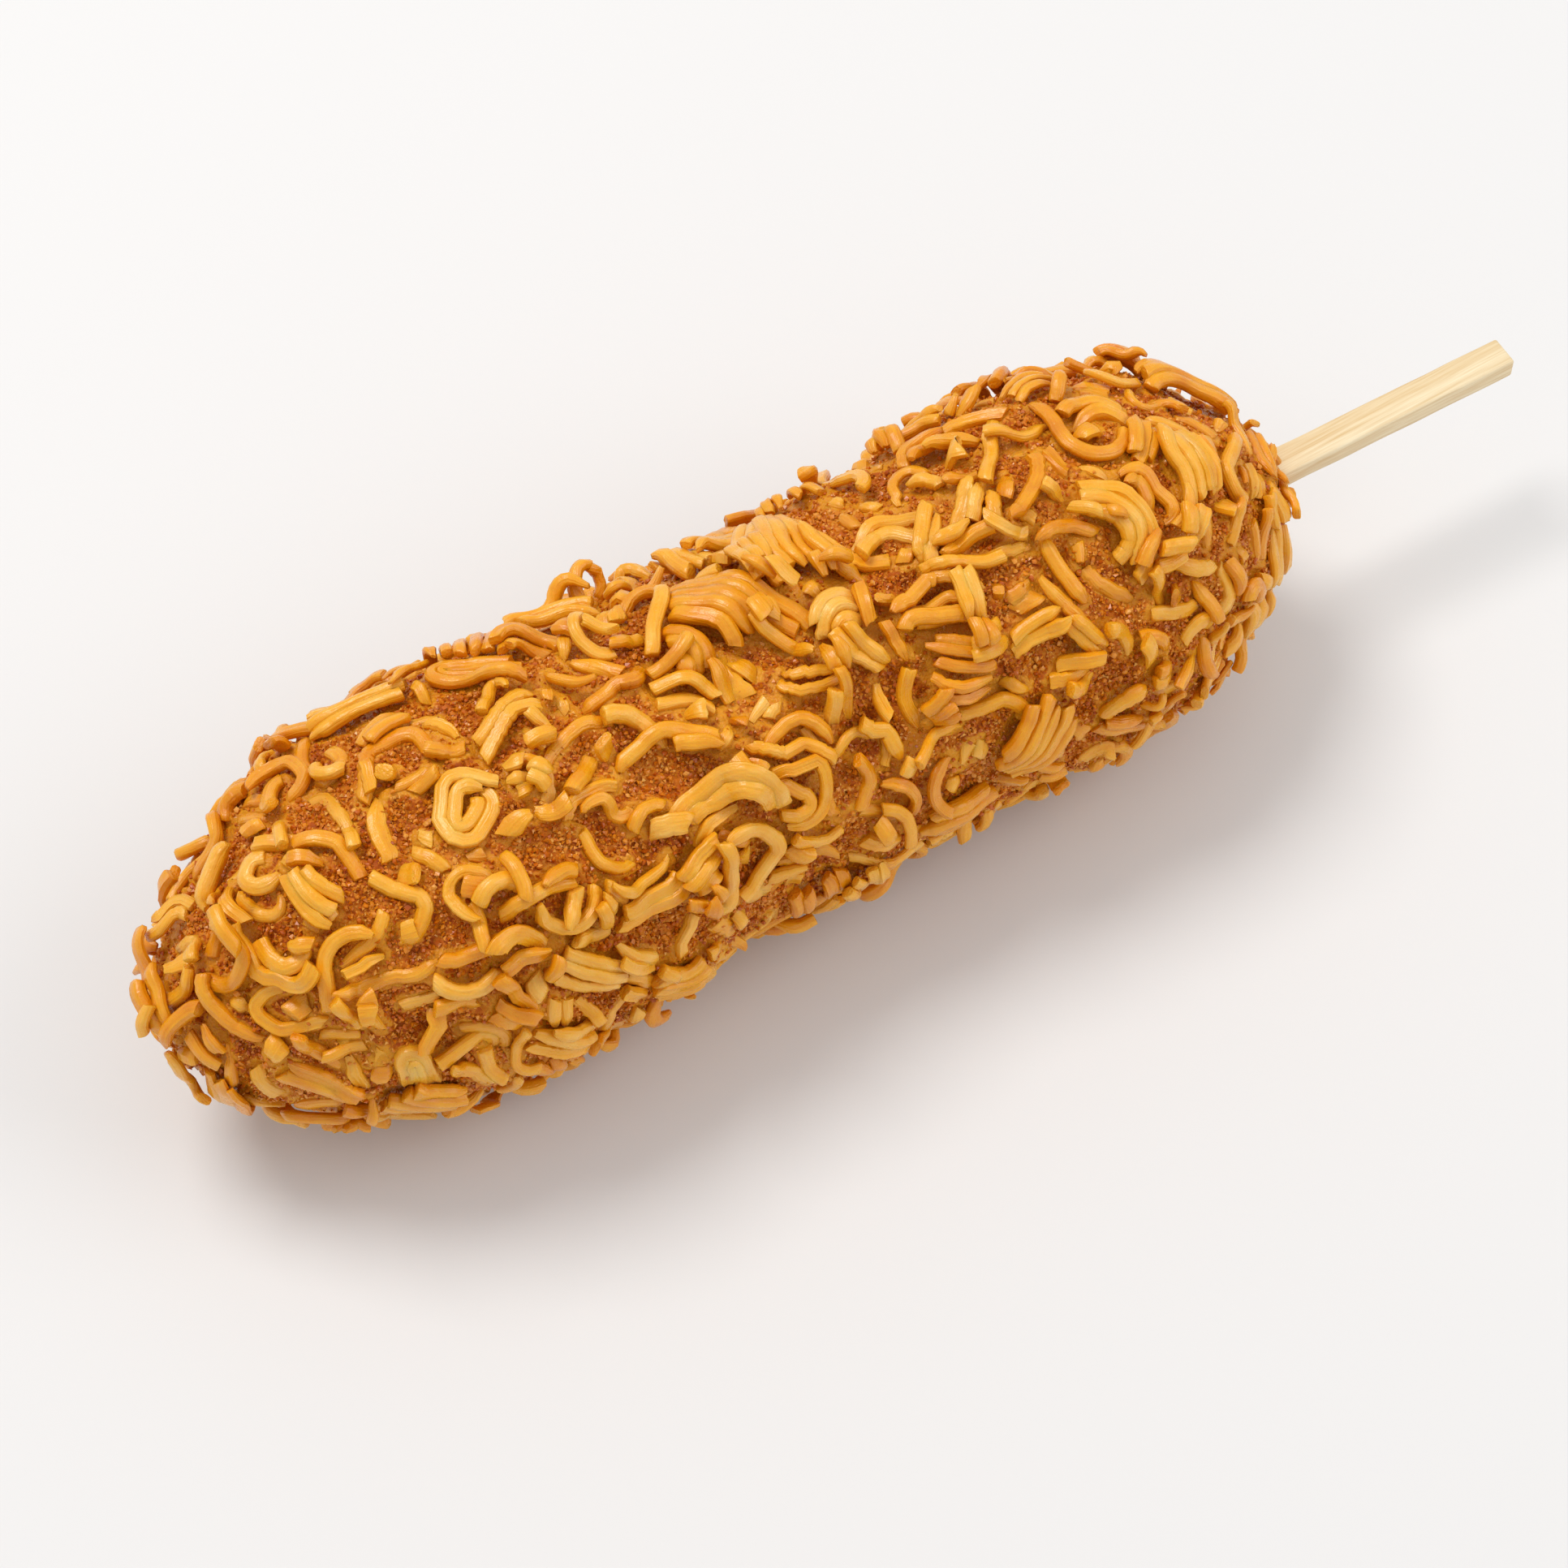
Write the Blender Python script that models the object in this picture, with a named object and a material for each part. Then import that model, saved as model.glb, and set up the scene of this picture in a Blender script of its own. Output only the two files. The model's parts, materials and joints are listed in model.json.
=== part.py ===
"""A corn dog coated in bits of fried noodle, on a flat wooden stick, lying on its side.

Metres, +Z up. The long axis runs along X with the stick at the +X end, and the origin is
the middle of the underside of the bounding box. The coated body is one solid out to the
uneven outline of the noodle layer. The larger noodle curls and bundles lie on top of it
as separate solids, and the stick sits in a blind socket in the body.
"""

import math
from collections import namedtuple

import bmesh
import bpy
from mathutils import Matrix, Vector, noise
from mathutils.bvhtree import BVHTree

MM = 0.001
GAP = 0.3 * MM  # clearance between pieces that touch

# The coated body, measured along its axis from where the loose noodles reach at the blunt end.
BODY_START = 2 * MM
BODY_END = 167 * MM
BODY_RADIUS = 23.0 * MM
NEAR_LOBE = (44 * MM, 26 * MM, 3.0 * MM)  # place, spread and extra radius
FAR_LOBE = (129 * MM, 16 * MM, 2.0 * MM)
BLUNT_TAPER = (36 * MM, 0.6)  # length and sharpness of each rounded end
STICK_TAPER = (26 * MM, 0.5)
LUMPS = ((17 * MM, 1.6 * MM), (8 * MM, 1.7 * MM))  # size and height of the unevenness
RINGS = 46
SEGMENTS = 36
REST_DEPTH = 1.2 * MM  # how much the resting side is flattened

# The stick.
STICK_WIDTH = 4.5 * MM
STICK_THICKNESS = 3.3 * MM
STICK_SHOWN = 40 * MM
STICK_SUNK = 34 * MM
STICK_OFFSET = (-2.7 * MM, 0.0)  # sideways and upwards from the axis, where it leaves the body
STICK_YAW = -1.8  # degrees
STICK_EDGE = 0.35 * MM

# The noodle strands.
STRAND = 2.2 * MM
STRAND_SIDES = 6
STRAND_STEPS = 12
BUNDLE_STEPS = 7
RIB_PITCH = 1.7 * MM
SEAT = (0.2 * MM, 0.12 * MM)  # extra height over the lumps, and more for each strand side by side

HELD = 8 * MM  # how far a path is held off before it is laid on the body

# along: mm, as for the body. around: degrees from the top towards -Y. heading: degrees
# from +X. length: mm. bend: degrees. strands: how many side by side. rise: mm at the free end.
Noodle = namedtuple("Noodle", "kind along around heading length bend strands rise")
NOODLES = (
    ("curl", 43, 14, 20, 28, 320, 1, 1.0),
    ("curl", 36, 37, -40, 23, 300, 1, 0.5),
    ("bundle", 85.5, -8, 50, 11, 50, 6, 0.0),
    ("hairpin", 57, -31, 180, 30, 180, 1, 0.0),
    ("bundle", 54, -6, -25, 14, 50, 2, 0.0),
    ("hook", 37, -16, -70, 15, 150, 1, 0.5),
    ("bundle", 47, 64, 5, 16, 10, 3, 0.0),
    ("curl", 10, 3, -60, 16, 270, 1, 0.5),
    ("curl", 18.5, 12, 120, 16, -270, 1, 0.5),
    ("hook", 13, 43, -160, 15, -170, 1, 0.5),
    ("hook", 26, 31, -90, 13, 130, 1, 1.0),
    ("arc", 26, 57, 0, 12, -50, 1, 1.0),
    ("bundle", 27, 78, 80, 11, 50, 3, 0.0),
    ("arc", 72, 33, -10, 20, 130, 1, 0.5),
    ("bundle", 89, 23, -15, 10, 60, 2, 0.0),
    ("bundle", 100, 15, 50, 11, -40, 3, 0.0),
    ("bundle", 115, 13, 10, 14, 20, 4, 0.0),
    ("bundle", 112, 38, -20, 11, 40, 4, 0.0),
    ("bundle", 96, -29, 60, 13, 30, 4, 0.0),
    ("bundle", 108, -9, 25, 9, 10, 3, 0.0),
    ("curl", 132, 22, -50, 29, 270, 1, 2.0),
    ("hairpin", 139, -10, 60, 20, 180, 1, 0.5),
    ("bundle", 147, 16, 70, 11, 30, 3, 0.0),
    ("bundle", 126, 52, 30, 12, 10, 3, 0.0),
    ("wave", 93, 42, 25, 19, 60, 1, 0.5),
    ("curl", 71, 72, -50, 20, 260, 1, 0.5),
    ("bundle", 113, 68, 110, 12, 40, 4, 0.0),
    ("arc", 105, 92, -10, 15, 20, 1, 0.5),
    ("arc", 72, 1, -5, 14, 30, 1, 1.5),
    ("curl", 76, -60, 30, 20, 300, 1, 2.0),
    ("bundle", 64, -52, -10, 12, 40, 3, 0.0),
    ("bundle", 39, -46, -10, 17, 20, 2, 0.0),
    ("arc", 127, -60, 70, 11, 30, 1, 5.0),
    ("arc", 153, -25, 10, 18, 90, 1, 2.5),
    ("hook", 143, 52, 100, 15, 150, 1, 0.5),
    ("arc", 25, 112, 60, 10, 60, 1, 1.0),
)
# The side away from the shown one has pieces of the same kinds, set round it in turn.
BACK_KINDS = ("curl", "bundle", "hook", "wave", "bundle", "arc")
BACK_COUNT = 9
BACK_ALONG = (22, 146)  # mm, first and last
BACK_AROUND = (-118, -86)  # degrees
BACK_TURN = 70  # degrees from each heading to the next
BACK_LENGTH = 15
BACK_RISE = 0.5
BACK_BEND = {"curl": 300, "bundle": 30, "hook": 150, "wave": 60, "arc": 90}


def bump(along, place, spread, height):
    return height * math.exp(-(((along - place) / spread) ** 2))


def body_radius(along):
    """Radius of the smooth body at a place along its axis."""
    radius = BODY_RADIUS + bump(along, *NEAR_LOBE) + bump(along, *FAR_LOBE)
    ends = ((along - BODY_START, BLUNT_TAPER), (BODY_END - along, STICK_TAPER))
    for distance, (reach, sharpness) in ends:
        rest = 1 - min(max(distance / reach, 0), 1)
        radius *= max(1 - rest * rest, 0) ** sharpness
    return radius


def lump(place):
    """Height of the uneven surface over the smooth one."""
    return sum(height * noise.noise(place / size) for size, height in LUMPS)


def make_material(name, colour, roughness):
    material = bpy.data.materials.new(name)
    material.use_nodes = True
    shader = material.node_tree.nodes["Principled BSDF"]
    shader.inputs["Base Color"].default_value = (*colour, 1)
    shader.inputs["Roughness"].default_value = roughness
    shader.inputs["Metallic"].default_value = 0
    return material


def make_object(name, mesh, material, parent):
    thing = bpy.data.objects.new(name, mesh)
    bpy.context.collection.objects.link(thing)
    mesh.materials.append(material)
    thing.parent = parent
    return thing


def bmesh_to_mesh(bm, name):
    bmesh.ops.recalc_face_normals(bm, faces=bm.faces)
    mesh = bpy.data.meshes.new(name)
    bm.to_mesh(mesh)
    bm.free()
    return mesh


def body_mesh(name):
    """The coated body: a turned profile with lumps, flattened where it rests."""
    bm = bmesh.new()
    profile = []
    for ring in range(RINGS + 1):
        share = (1 - math.cos(math.pi * ring / RINGS)) / 2
        along = BODY_START + share * (BODY_END - BODY_START)
        profile.append(bm.verts.new((along, 0, body_radius(along))))
    edges = [bm.edges.new(pair) for pair in zip(profile, profile[1:])]
    bmesh.ops.spin(
        bm, geom=profile + edges, cent=(0, 0, 0), axis=(1, 0, 0), dvec=(0, 0, 0),
        angle=math.tau, steps=SEGMENTS, use_merge=True, use_duplicate=False,
    )
    bmesh.ops.remove_doubles(bm, verts=bm.verts, dist=0.01 * MM)
    bmesh.ops.recalc_face_normals(bm, faces=bm.faces)
    bm.normal_update()
    places = [vert.co + vert.normal * lump(vert.co) for vert in bm.verts]
    for vert, place in zip(bm.verts, places):
        vert.co = place
    floor = min(vert.co.z for vert in bm.verts) + REST_DEPTH
    bmesh.ops.bisect_plane(
        bm, geom=bm.verts[:] + bm.edges[:] + bm.faces[:], dist=0.01 * MM,
        plane_co=(0, 0, floor), plane_no=(0, 0, -1), clear_outer=True,
    )
    bmesh.ops.holes_fill(bm, edges=[edge for edge in bm.edges if edge.is_boundary], sides=0)
    return bmesh_to_mesh(bm, name)


def stick_mesh(name, grow=0.0):
    """A square-cut bar along X, from inside the body to its free end, or its cutter."""
    bm = bmesh.new()
    bmesh.ops.create_cube(bm, size=1)
    length = STICK_SHOWN + STICK_SUNK + grow
    bmesh.ops.scale(bm, verts=bm.verts, vec=(length, STICK_WIDTH + 2 * grow, STICK_THICKNESS + 2 * grow))
    bmesh.ops.translate(bm, verts=bm.verts, vec=((STICK_SHOWN - STICK_SUNK - grow) / 2, 0, 0))
    if not grow:
        bmesh.ops.bevel(
            bm, geom=bm.edges[:], offset=STICK_EDGE, segments=2, profile=0.5,
            affect="EDGES", material=-1,
        )
    return bmesh_to_mesh(bm, name)


def cut(target, cutter):
    """Removes the cutter's shape from the target with a live modifier."""
    cutter.hide_render = True
    cutter.display_type = "WIRE"
    modifier = target.modifiers.new("socket", "BOOLEAN")
    modifier.operation = "DIFFERENCE"
    modifier.object = cutter


def heading_share(kind, t):
    """How much of its bend a strand is turned by, at a share of its length."""
    if kind == "wave":
        return math.cos(math.tau * t)
    if kind == "hook":
        return max(t - 0.4, 0) / 0.6
    if kind == "hairpin":
        return min(max((t - 0.4) / 0.2, 0), 1)
    if kind == "curl":
        return 1 - (1 - t) ** 1.5
    return t


def flat_path(kind, length, bend, steps):
    """Points of a bent strand in a plane, centred on the origin. A wave runs along +X."""
    place = Vector((0, 0))
    points = [place.copy()]
    for step in range(1, steps):
        turned = math.radians(bend) * heading_share(kind, (step - 0.5) / (steps - 1))
        place += Vector((math.cos(turned), math.sin(turned))) * length / (steps - 1)
        points.append(place.copy())
    middle = sum(points, Vector((0, 0))) / len(points)
    return [point - middle for point in points]


def strand_section():
    turn = math.tau / STRAND_SIDES
    return [
        (math.sin(turn * side) * STRAND / 2, math.cos(turn * side) * STRAND / 2)
        for side in range(STRAND_SIDES)
    ]


def bundle_section(strands):
    """Strands fused side by side: ribs on top, flat below."""
    half = strands * RIB_PITCH / 2
    low, valley, high = -STRAND / 2, STRAND * 0.15, STRAND / 2
    section = [(-half, low)]
    for strand in range(strands):
        left = -half + strand * RIB_PITCH
        section += [(left, valley), (left + RIB_PITCH / 2, high)]
    return section + [(half, valley), (half, low)]


def normal_near(place):
    """A way out from the body that ignores its lumps."""
    along = min(max(place.x, BODY_START + 1 * MM), BODY_END - 1 * MM)
    slope = (body_radius(along + 0.5 * MM) - body_radius(along - 0.5 * MM)) / MM
    around = Vector((0, place.y, place.z)).normalized()
    return (around - Vector((slope, 0, 0))).normalized()


def sweep(name, section, frames):
    """A closed solid: the section as a face in the first frame, extruded through the others."""
    bm = bmesh.new()
    face = bm.faces.new([bm.verts.new(frames[0] @ Vector((x, y, 0))) for x, y in section])
    for number, (last, frame) in enumerate(zip(frames, frames[1:])):
        grown = bmesh.ops.extrude_face_region(bm, geom=[face])["geom"]
        if number:
            bmesh.ops.delete(bm, geom=[face], context="FACES_ONLY")
        face = next(item for item in grown if isinstance(item, bmesh.types.BMFace))
        bmesh.ops.transform(bm, matrix=frame @ last.inverted(), verts=face.verts)
    return bmesh_to_mesh(bm, name)


def lay_on(body, place):
    """The nearest point of the body to one held over a place, and the way out from there."""
    held = place + normal_near(place) * HELD
    nearest = body.find_nearest(held)[0]
    return nearest, (held - nearest).normalized()


def noodle_mesh(name, body, noodle):
    """One strand or bundle, swept along its path over the body."""
    kind, along, around, heading, length, bend, strands, rise = noodle
    shape = "arc" if kind == "bundle" else kind
    steps = BUNDLE_STEPS if kind == "bundle" else STRAND_STEPS
    section = bundle_section(strands) if kind == "bundle" else strand_section()
    along, turn = along * MM, math.radians(around)
    radius = body_radius(along)
    centre = Vector((along, -math.sin(turn) * radius, math.cos(turn) * radius))
    up = normal_near(centre)
    side = Vector((0, -math.cos(turn), -math.sin(turn)))
    forward = up.cross(side)
    facing = Matrix.Rotation(math.radians(heading), 2)
    points = []
    for step, flat in enumerate(flat_path(shape, length * MM, bend, steps)):
        flat = facing @ flat
        nearest, outward = lay_on(body, centre + forward * flat.x + side * flat.y)
        lift = STRAND / 2 + GAP + SEAT[0] + SEAT[1] * strands + rise * MM * (step / (steps - 1)) ** 2
        points.append((nearest + outward * lift, outward))
    frames = []
    for step, (point, outward) in enumerate(points):
        ahead = (points[min(step + 1, steps - 1)][0] - points[max(step - 1, 0)][0]).normalized()
        across = outward.cross(ahead).normalized()
        turned = Matrix((across, ahead.cross(across), ahead)).transposed().to_4x4()
        frames.append(Matrix.Translation(point) @ turned)
    return sweep(name, section, frames)


def back_noodles():
    """Noodles for the far side."""
    for number in range(BACK_COUNT):
        kind = BACK_KINDS[number % len(BACK_KINDS)]
        share = number / (BACK_COUNT - 1)
        along = BACK_ALONG[0] + share * (BACK_ALONG[1] - BACK_ALONG[0])
        around = BACK_AROUND[number % 2]
        strands = 3 if kind == "bundle" else 1
        heading = number * BACK_TURN
        yield Noodle(kind, along, around, heading, BACK_LENGTH, BACK_BEND[kind], strands, BACK_RISE)


def main():
    for thing in list(bpy.data.objects):
        bpy.data.objects.remove(thing, do_unlink=True)

    crust_finish = make_material("fried_crust", (0.47, 0.17, 0.035), 0.75)
    noodle_finish = make_material("fried_noodle", (0.78, 0.38, 0.09), 0.4)
    wood_finish = make_material("bamboo", (0.87, 0.69, 0.42), 0.6)

    frame = bpy.data.objects.new("corn_dog", None)
    bpy.context.collection.objects.link(frame)

    crust = make_object("crust", body_mesh("crust"), crust_finish, frame)
    body = BVHTree.FromObject(crust, bpy.context.evaluated_depsgraph_get())
    stick_place = Vector((BODY_END, *STICK_OFFSET))
    socket = make_object("socket_cutter", stick_mesh("socket_cutter", GAP), wood_finish, frame)
    stick = make_object("stick", stick_mesh("stick"), wood_finish, frame)
    for thing in (stick, socket):
        thing.location = stick_place
        thing.rotation_euler.z = math.radians(STICK_YAW)
    cut(crust, socket)

    for number, noodle in enumerate((*map(Noodle._make, NOODLES), *back_noodles()), 1):
        name = f"noodle_{number:02d}_{noodle.kind}"
        piece = make_object(name, noodle_mesh(name, body, noodle), noodle_finish, frame)
        if noodle.kind != "bundle":
            piece.data.shade_smooth()

    bpy.context.view_layer.update()
    solids = [thing for thing in bpy.data.objects if thing.type == "MESH" and not thing.hide_render]
    corners = [thing.matrix_world @ Vector(corner) for thing in solids for corner in thing.bound_box]
    low, high = (Vector(map(pick, zip(*corners))) for pick in (min, max))
    frame.location = (-(low.x + high.x) / 2, -(low.y + high.y) / 2, -low.z)


main()
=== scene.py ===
# A corn dog crusted with bits of fried noodle, on a flat wooden stick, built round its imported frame.
import json
import math
import random

import bmesh
import bpy
import numpy as np
from mathutils import Matrix, Vector, kdtree, noise
from mathutils.bvhtree import BVHTree

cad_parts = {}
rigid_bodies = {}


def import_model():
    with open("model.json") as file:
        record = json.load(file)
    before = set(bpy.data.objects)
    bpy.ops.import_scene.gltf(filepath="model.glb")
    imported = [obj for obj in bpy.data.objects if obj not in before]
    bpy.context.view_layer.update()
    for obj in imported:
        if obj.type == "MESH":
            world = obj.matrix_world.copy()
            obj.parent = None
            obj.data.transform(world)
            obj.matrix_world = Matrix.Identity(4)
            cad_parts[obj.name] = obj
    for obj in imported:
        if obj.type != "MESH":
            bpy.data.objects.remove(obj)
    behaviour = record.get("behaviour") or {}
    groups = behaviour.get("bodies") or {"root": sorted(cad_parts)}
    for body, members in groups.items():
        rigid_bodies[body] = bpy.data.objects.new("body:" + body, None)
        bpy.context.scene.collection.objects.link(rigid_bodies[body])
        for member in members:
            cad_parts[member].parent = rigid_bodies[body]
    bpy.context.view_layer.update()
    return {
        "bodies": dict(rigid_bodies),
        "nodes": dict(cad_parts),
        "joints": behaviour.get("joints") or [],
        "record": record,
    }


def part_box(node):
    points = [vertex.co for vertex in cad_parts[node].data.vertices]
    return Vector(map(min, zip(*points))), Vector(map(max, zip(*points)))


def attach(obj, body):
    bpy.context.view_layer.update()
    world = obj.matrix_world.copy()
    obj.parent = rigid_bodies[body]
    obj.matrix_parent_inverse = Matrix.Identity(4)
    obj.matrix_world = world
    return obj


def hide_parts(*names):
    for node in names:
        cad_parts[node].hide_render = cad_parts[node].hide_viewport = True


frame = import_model()
mm = 0.001
print("frame loaded")

# Where the body lies, and its turned shape.
body = {
    "start": 2.8 * mm, "end": 166 * mm, "radius": 22.2 * mm,
    "lobes": ((44 * mm, 26 * mm, 3.0 * mm), (129 * mm, 16 * mm, 2.0 * mm)),  # place, spread, extra
    "bluntTaper": (36 * mm, 0.6), "stickTaper": (29 * mm, 0.5),  # reach and sharpness of each end
    "lumps": ((17 * mm, 1.5 * mm), (8 * mm, 1.1 * mm)),  # size and height
    "rings": 41, "turns": 36, "cuts": 7,
}

# The resting spot is right under the axis, at the thick lobe. The stick lies along the axis.
stickLow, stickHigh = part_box("stick")
restSpot = Vector(frame["record"]["mounts"][0]["pos_m"])
axisStart = Vector((restSpot.x - body["lobes"][0][0], restSpot.y, (stickLow.z + stickHigh.z) / 2))


def bodyRadius(along):
    radius = body["radius"]
    for place, spread, extra in body["lobes"]:
        radius += extra * math.exp(-(((along - place) / spread) ** 2))
    ends = ((along - body["start"], body["bluntTaper"]), (body["end"] - along, body["stickTaper"]))
    for distance, (reach, sharpness) in ends:
        rest = 1 - min(max(distance / reach, 0), 1)
        radius *= max(1 - rest * rest, 0) ** sharpness
    return radius


def placeOn(along, around, lift=0.0):  # around is in radians from the top towards -Y
    radius = bodyRadius(along) + lift
    return axisStart + Vector((along, -math.sin(around) * radius, math.cos(around) * radius))


def wayOut(place):  # out from the smooth body
    along = min(max(place.x - axisStart.x, body["start"] + mm), body["end"] - mm)
    slope = (bodyRadius(along + 0.5 * mm) - bodyRadius(along - 0.5 * mm)) / mm
    around = Vector((0, place.y - axisStart.y, place.z - axisStart.z)).normalized()
    return (around - Vector((slope, 0, 0))).normalized()


def newPiece(name, mesh, materials):
    piece = bpy.data.objects.new(name, mesh)
    bpy.context.collection.objects.link(piece)
    for material in materials:
        mesh.materials.append(material)
    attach(piece, "root")
    return piece


# Shader helpers: sums on wires add Math nodes.
class Wire:
    def __init__(self, graph, socket):
        self.graph, self.socket = graph, socket

    def __add__(self, other):
        return self.graph.sums("ADD", self, other)

    def __sub__(self, other):
        return self.graph.sums("SUBTRACT", self, other)

    def __rsub__(self, other):
        return self.graph.sums("SUBTRACT", other, self)

    def __mul__(self, other):
        return self.graph.sums("MULTIPLY", self, other)

    __radd__ = __add__
    __rmul__ = __mul__


class Graph:
    def __init__(self, name, **fixed):
        self.material = bpy.data.materials.new(name)
        self.material.use_nodes = True
        self.tree = self.material.node_tree
        self.shader = self.tree.nodes["Principled BSDF"]
        for socket, value in fixed.items():
            self.shader.inputs[socket.replace("_", " ")].default_value = value
        self.place = self.add("TexCoord", output="Object")

    def add(self, kind, settings=None, inputs=None, output=0):
        node = self.tree.nodes.new("ShaderNode" + kind)
        for key, value in (settings or {}).items():
            if key == "stops":
                self.setStops(node.color_ramp.elements, value)
            else:
                setattr(node, key, value)
        for key, value in (inputs or {}).items():
            self.feed(node.inputs[key], value)
        return Wire(self, node.outputs[output])

    def setStops(self, ramp, stops):
        while len(ramp) < len(stops):
            ramp.new(1)
        for stop, (position, colour) in zip(ramp, stops):
            stop.position = position
            stop.color = (*colour, 1)

    def feed(self, socket, value):
        if isinstance(value, Wire):
            self.tree.links.new(value.socket, socket)
        else:
            socket.default_value = value

    def sums(self, operation, *values):
        return self.add("Math", {"operation": operation}, dict(enumerate(values)))

    def mixed(self, share, first, second):
        return self.add("Mix", {"data_type": "RGBA"}, {0: share, 6: first, 7: second}, 2)

    def ramp(self, value, *stops):
        return self.add("ValToRGB", {"stops": stops}, {0: value})

    def spots(self, scale, detail=2.0, rough=0.5, place=None):
        inputs = {"Vector": place or self.place, "Scale": scale, "Detail": detail, "Roughness": rough}
        return self.add("TexNoise", {}, inputs)

    def cells(self, scale, output="Distance"):
        return self.add("TexVoronoi", {}, {"Vector": self.place, "Scale": scale}, output)

    def stretched(self, value, low, high, newLow=0.0, newHigh=1.0):
        inputs = {0: value, 1: low, 2: high, 3: newLow, 4: newHigh}
        return self.add("MapRange", {"clamp": True}, inputs)

    def own(self, name):
        return self.add("Attribute", {"attribute_name": name}, output="Fac")

    def bumped(self, height, strength, distance):
        return self.add("Bump", {}, {"Height": height, "Strength": strength, "Distance": distance})

    def finish(self, colour, roughness, normal=None):
        self.feed(self.shader.inputs["Base Color"], colour)
        self.feed(self.shader.inputs["Roughness"], roughness)
        if normal:
            self.feed(self.shader.inputs["Normal"], normal)
        return self.material


# Camera, floor and light.
view = {
    "azimuth": -32.3, "elevation": 58, "distance": 0.5612, "lens": 100,
    "aim": (86.5 * mm, -9.6 * mm),  # along the body and to its side
    "floor": (0.8, 0.79, 0.785), "floorRoughness": 0.9, "floorSize": 3,
    "world": (0.98, 0.99, 1.0), "worldStrength": 0.63,
}


def makeCamera():
    scene = bpy.context.scene
    turn, tilt = math.radians(view["azimuth"]), math.radians(view["elevation"])
    back = Vector((math.sin(turn) * math.cos(tilt), -math.cos(turn) * math.cos(tilt), math.sin(tilt)))
    camera = bpy.data.objects.new("camera", bpy.data.cameras.new("camera"))
    camera.data.lens = view["lens"]
    camera.location = axisStart + Vector((*view["aim"], 0)) + back * view["distance"]
    camera.rotation_euler = back.to_track_quat("Z", "Y").to_euler()
    scene.collection.objects.link(camera)
    scene.camera = camera
    scene.view_settings.view_transform = "Standard"


def makeFloor():
    bm = bmesh.new()
    bmesh.ops.create_grid(bm, x_segments=1, y_segments=1, size=view["floorSize"])
    mesh = bpy.data.meshes.new("floor")
    bm.to_mesh(mesh)
    bm.free()
    floor = bpy.data.objects.new("floor", mesh)
    bpy.context.scene.collection.objects.link(floor)
    paint = bpy.data.materials.new("floorPaint")
    paint.use_nodes = True
    shader = paint.node_tree.nodes["Principled BSDF"].inputs
    shader["Base Color"].default_value = (*view["floor"], 1)
    shader["Roughness"].default_value = view["floorRoughness"]
    mesh.materials.append(paint)


def makeWorld():
    world = bpy.data.worlds.new("studio")
    world.use_nodes = True
    background = world.node_tree.nodes["Background"].inputs
    background["Color"].default_value = (*view["world"], 1)
    background["Strength"].default_value = view["worldStrength"]
    bpy.context.scene.world = world


lamps = (
    {
        "name": "key", "place": (-0.24, 0.48, 1.12), "size": 0.55, "power": 7.5,
        "colour": (1.0, 0.985, 0.96),
    },
    {
        "name": "fill", "place": (0.75, -0.55, 0.8), "size": 0.9, "power": 3.4,
        "colour": (1.0, 0.99, 0.98),
    },
)


def makeLamps():
    for lamp in lamps:
        light = bpy.data.lights.new(lamp["name"], "AREA")
        light.shape = "DISK"
        light.size = lamp["size"]
        light.energy = lamp["power"]
        light.color = lamp["colour"]
        thing = bpy.data.objects.new(lamp["name"], light)
        thing.location = lamp["place"]
        thing.rotation_euler = thing.location.to_track_quat("Z", "Y").to_euler()
        bpy.context.scene.collection.objects.link(thing)


makeCamera()
makeFloor()
makeWorld()
makeLamps()
print("view and light made")


# The body before its crumbs: a turned profile, subdivided and lumpy.
def settleOrder(bm):
    # A spin leaves edges and faces in a chance order. Made again in a fixed one, they give the same
    # body and crumbs at each run.
    bm.verts.index_update()
    places = [vert.co.copy() for vert in bm.verts]
    faces = sorted([[vert.index for vert in face.verts] for face in bm.faces], key=sorted)
    bm.clear()
    verts = [bm.verts.new(place) for place in places]
    for face in faces:
        bm.faces.new([verts[index] for index in face])


def makeBody():
    bm = bmesh.new()
    profile = []
    for ring in range(body["rings"] + 1):
        share = (1 - math.cos(math.pi * ring / body["rings"])) / 2
        along = body["start"] + share * (body["end"] - body["start"])
        profile.append(bm.verts.new((along, 0, bodyRadius(along))))
    edges = [bm.edges.new(pair) for pair in zip(profile, profile[1:])]
    bmesh.ops.spin(
        bm, geom=profile + edges, cent=(0, 0, 0), axis=(1, 0, 0), angle=math.tau,
        steps=body["turns"], use_merge=True,
    )
    bmesh.ops.remove_doubles(bm, verts=bm.verts, dist=0.01 * mm)
    settleOrder(bm)
    bmesh.ops.subdivide_edges(bm, edges=bm.edges[:], cuts=body["cuts"], use_grid_fill=True)
    for vert in bm.verts:  # back onto the true turned shape
        reach = math.hypot(vert.co.y, vert.co.z)
        if reach > 0.01 * mm:
            scale = bodyRadius(vert.co.x) / reach
            vert.co.y *= scale
            vert.co.z *= scale
    bmesh.ops.recalc_face_normals(bm, faces=bm.faces)
    bm.normal_update()
    places = []
    for vert in bm.verts:
        lump = sum(height * noise.noise(vert.co / size) for size, height in body["lumps"])
        places.append(vert.co + vert.normal * lump + axisStart)
    for vert, place in zip(bm.verts, places):
        vert.co = place
    return bm


bodyMesh = makeBody()
bodyTree = BVHTree.FromBMesh(bodyMesh)
print("body made with", len(bodyMesh.faces), "faces")


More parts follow.
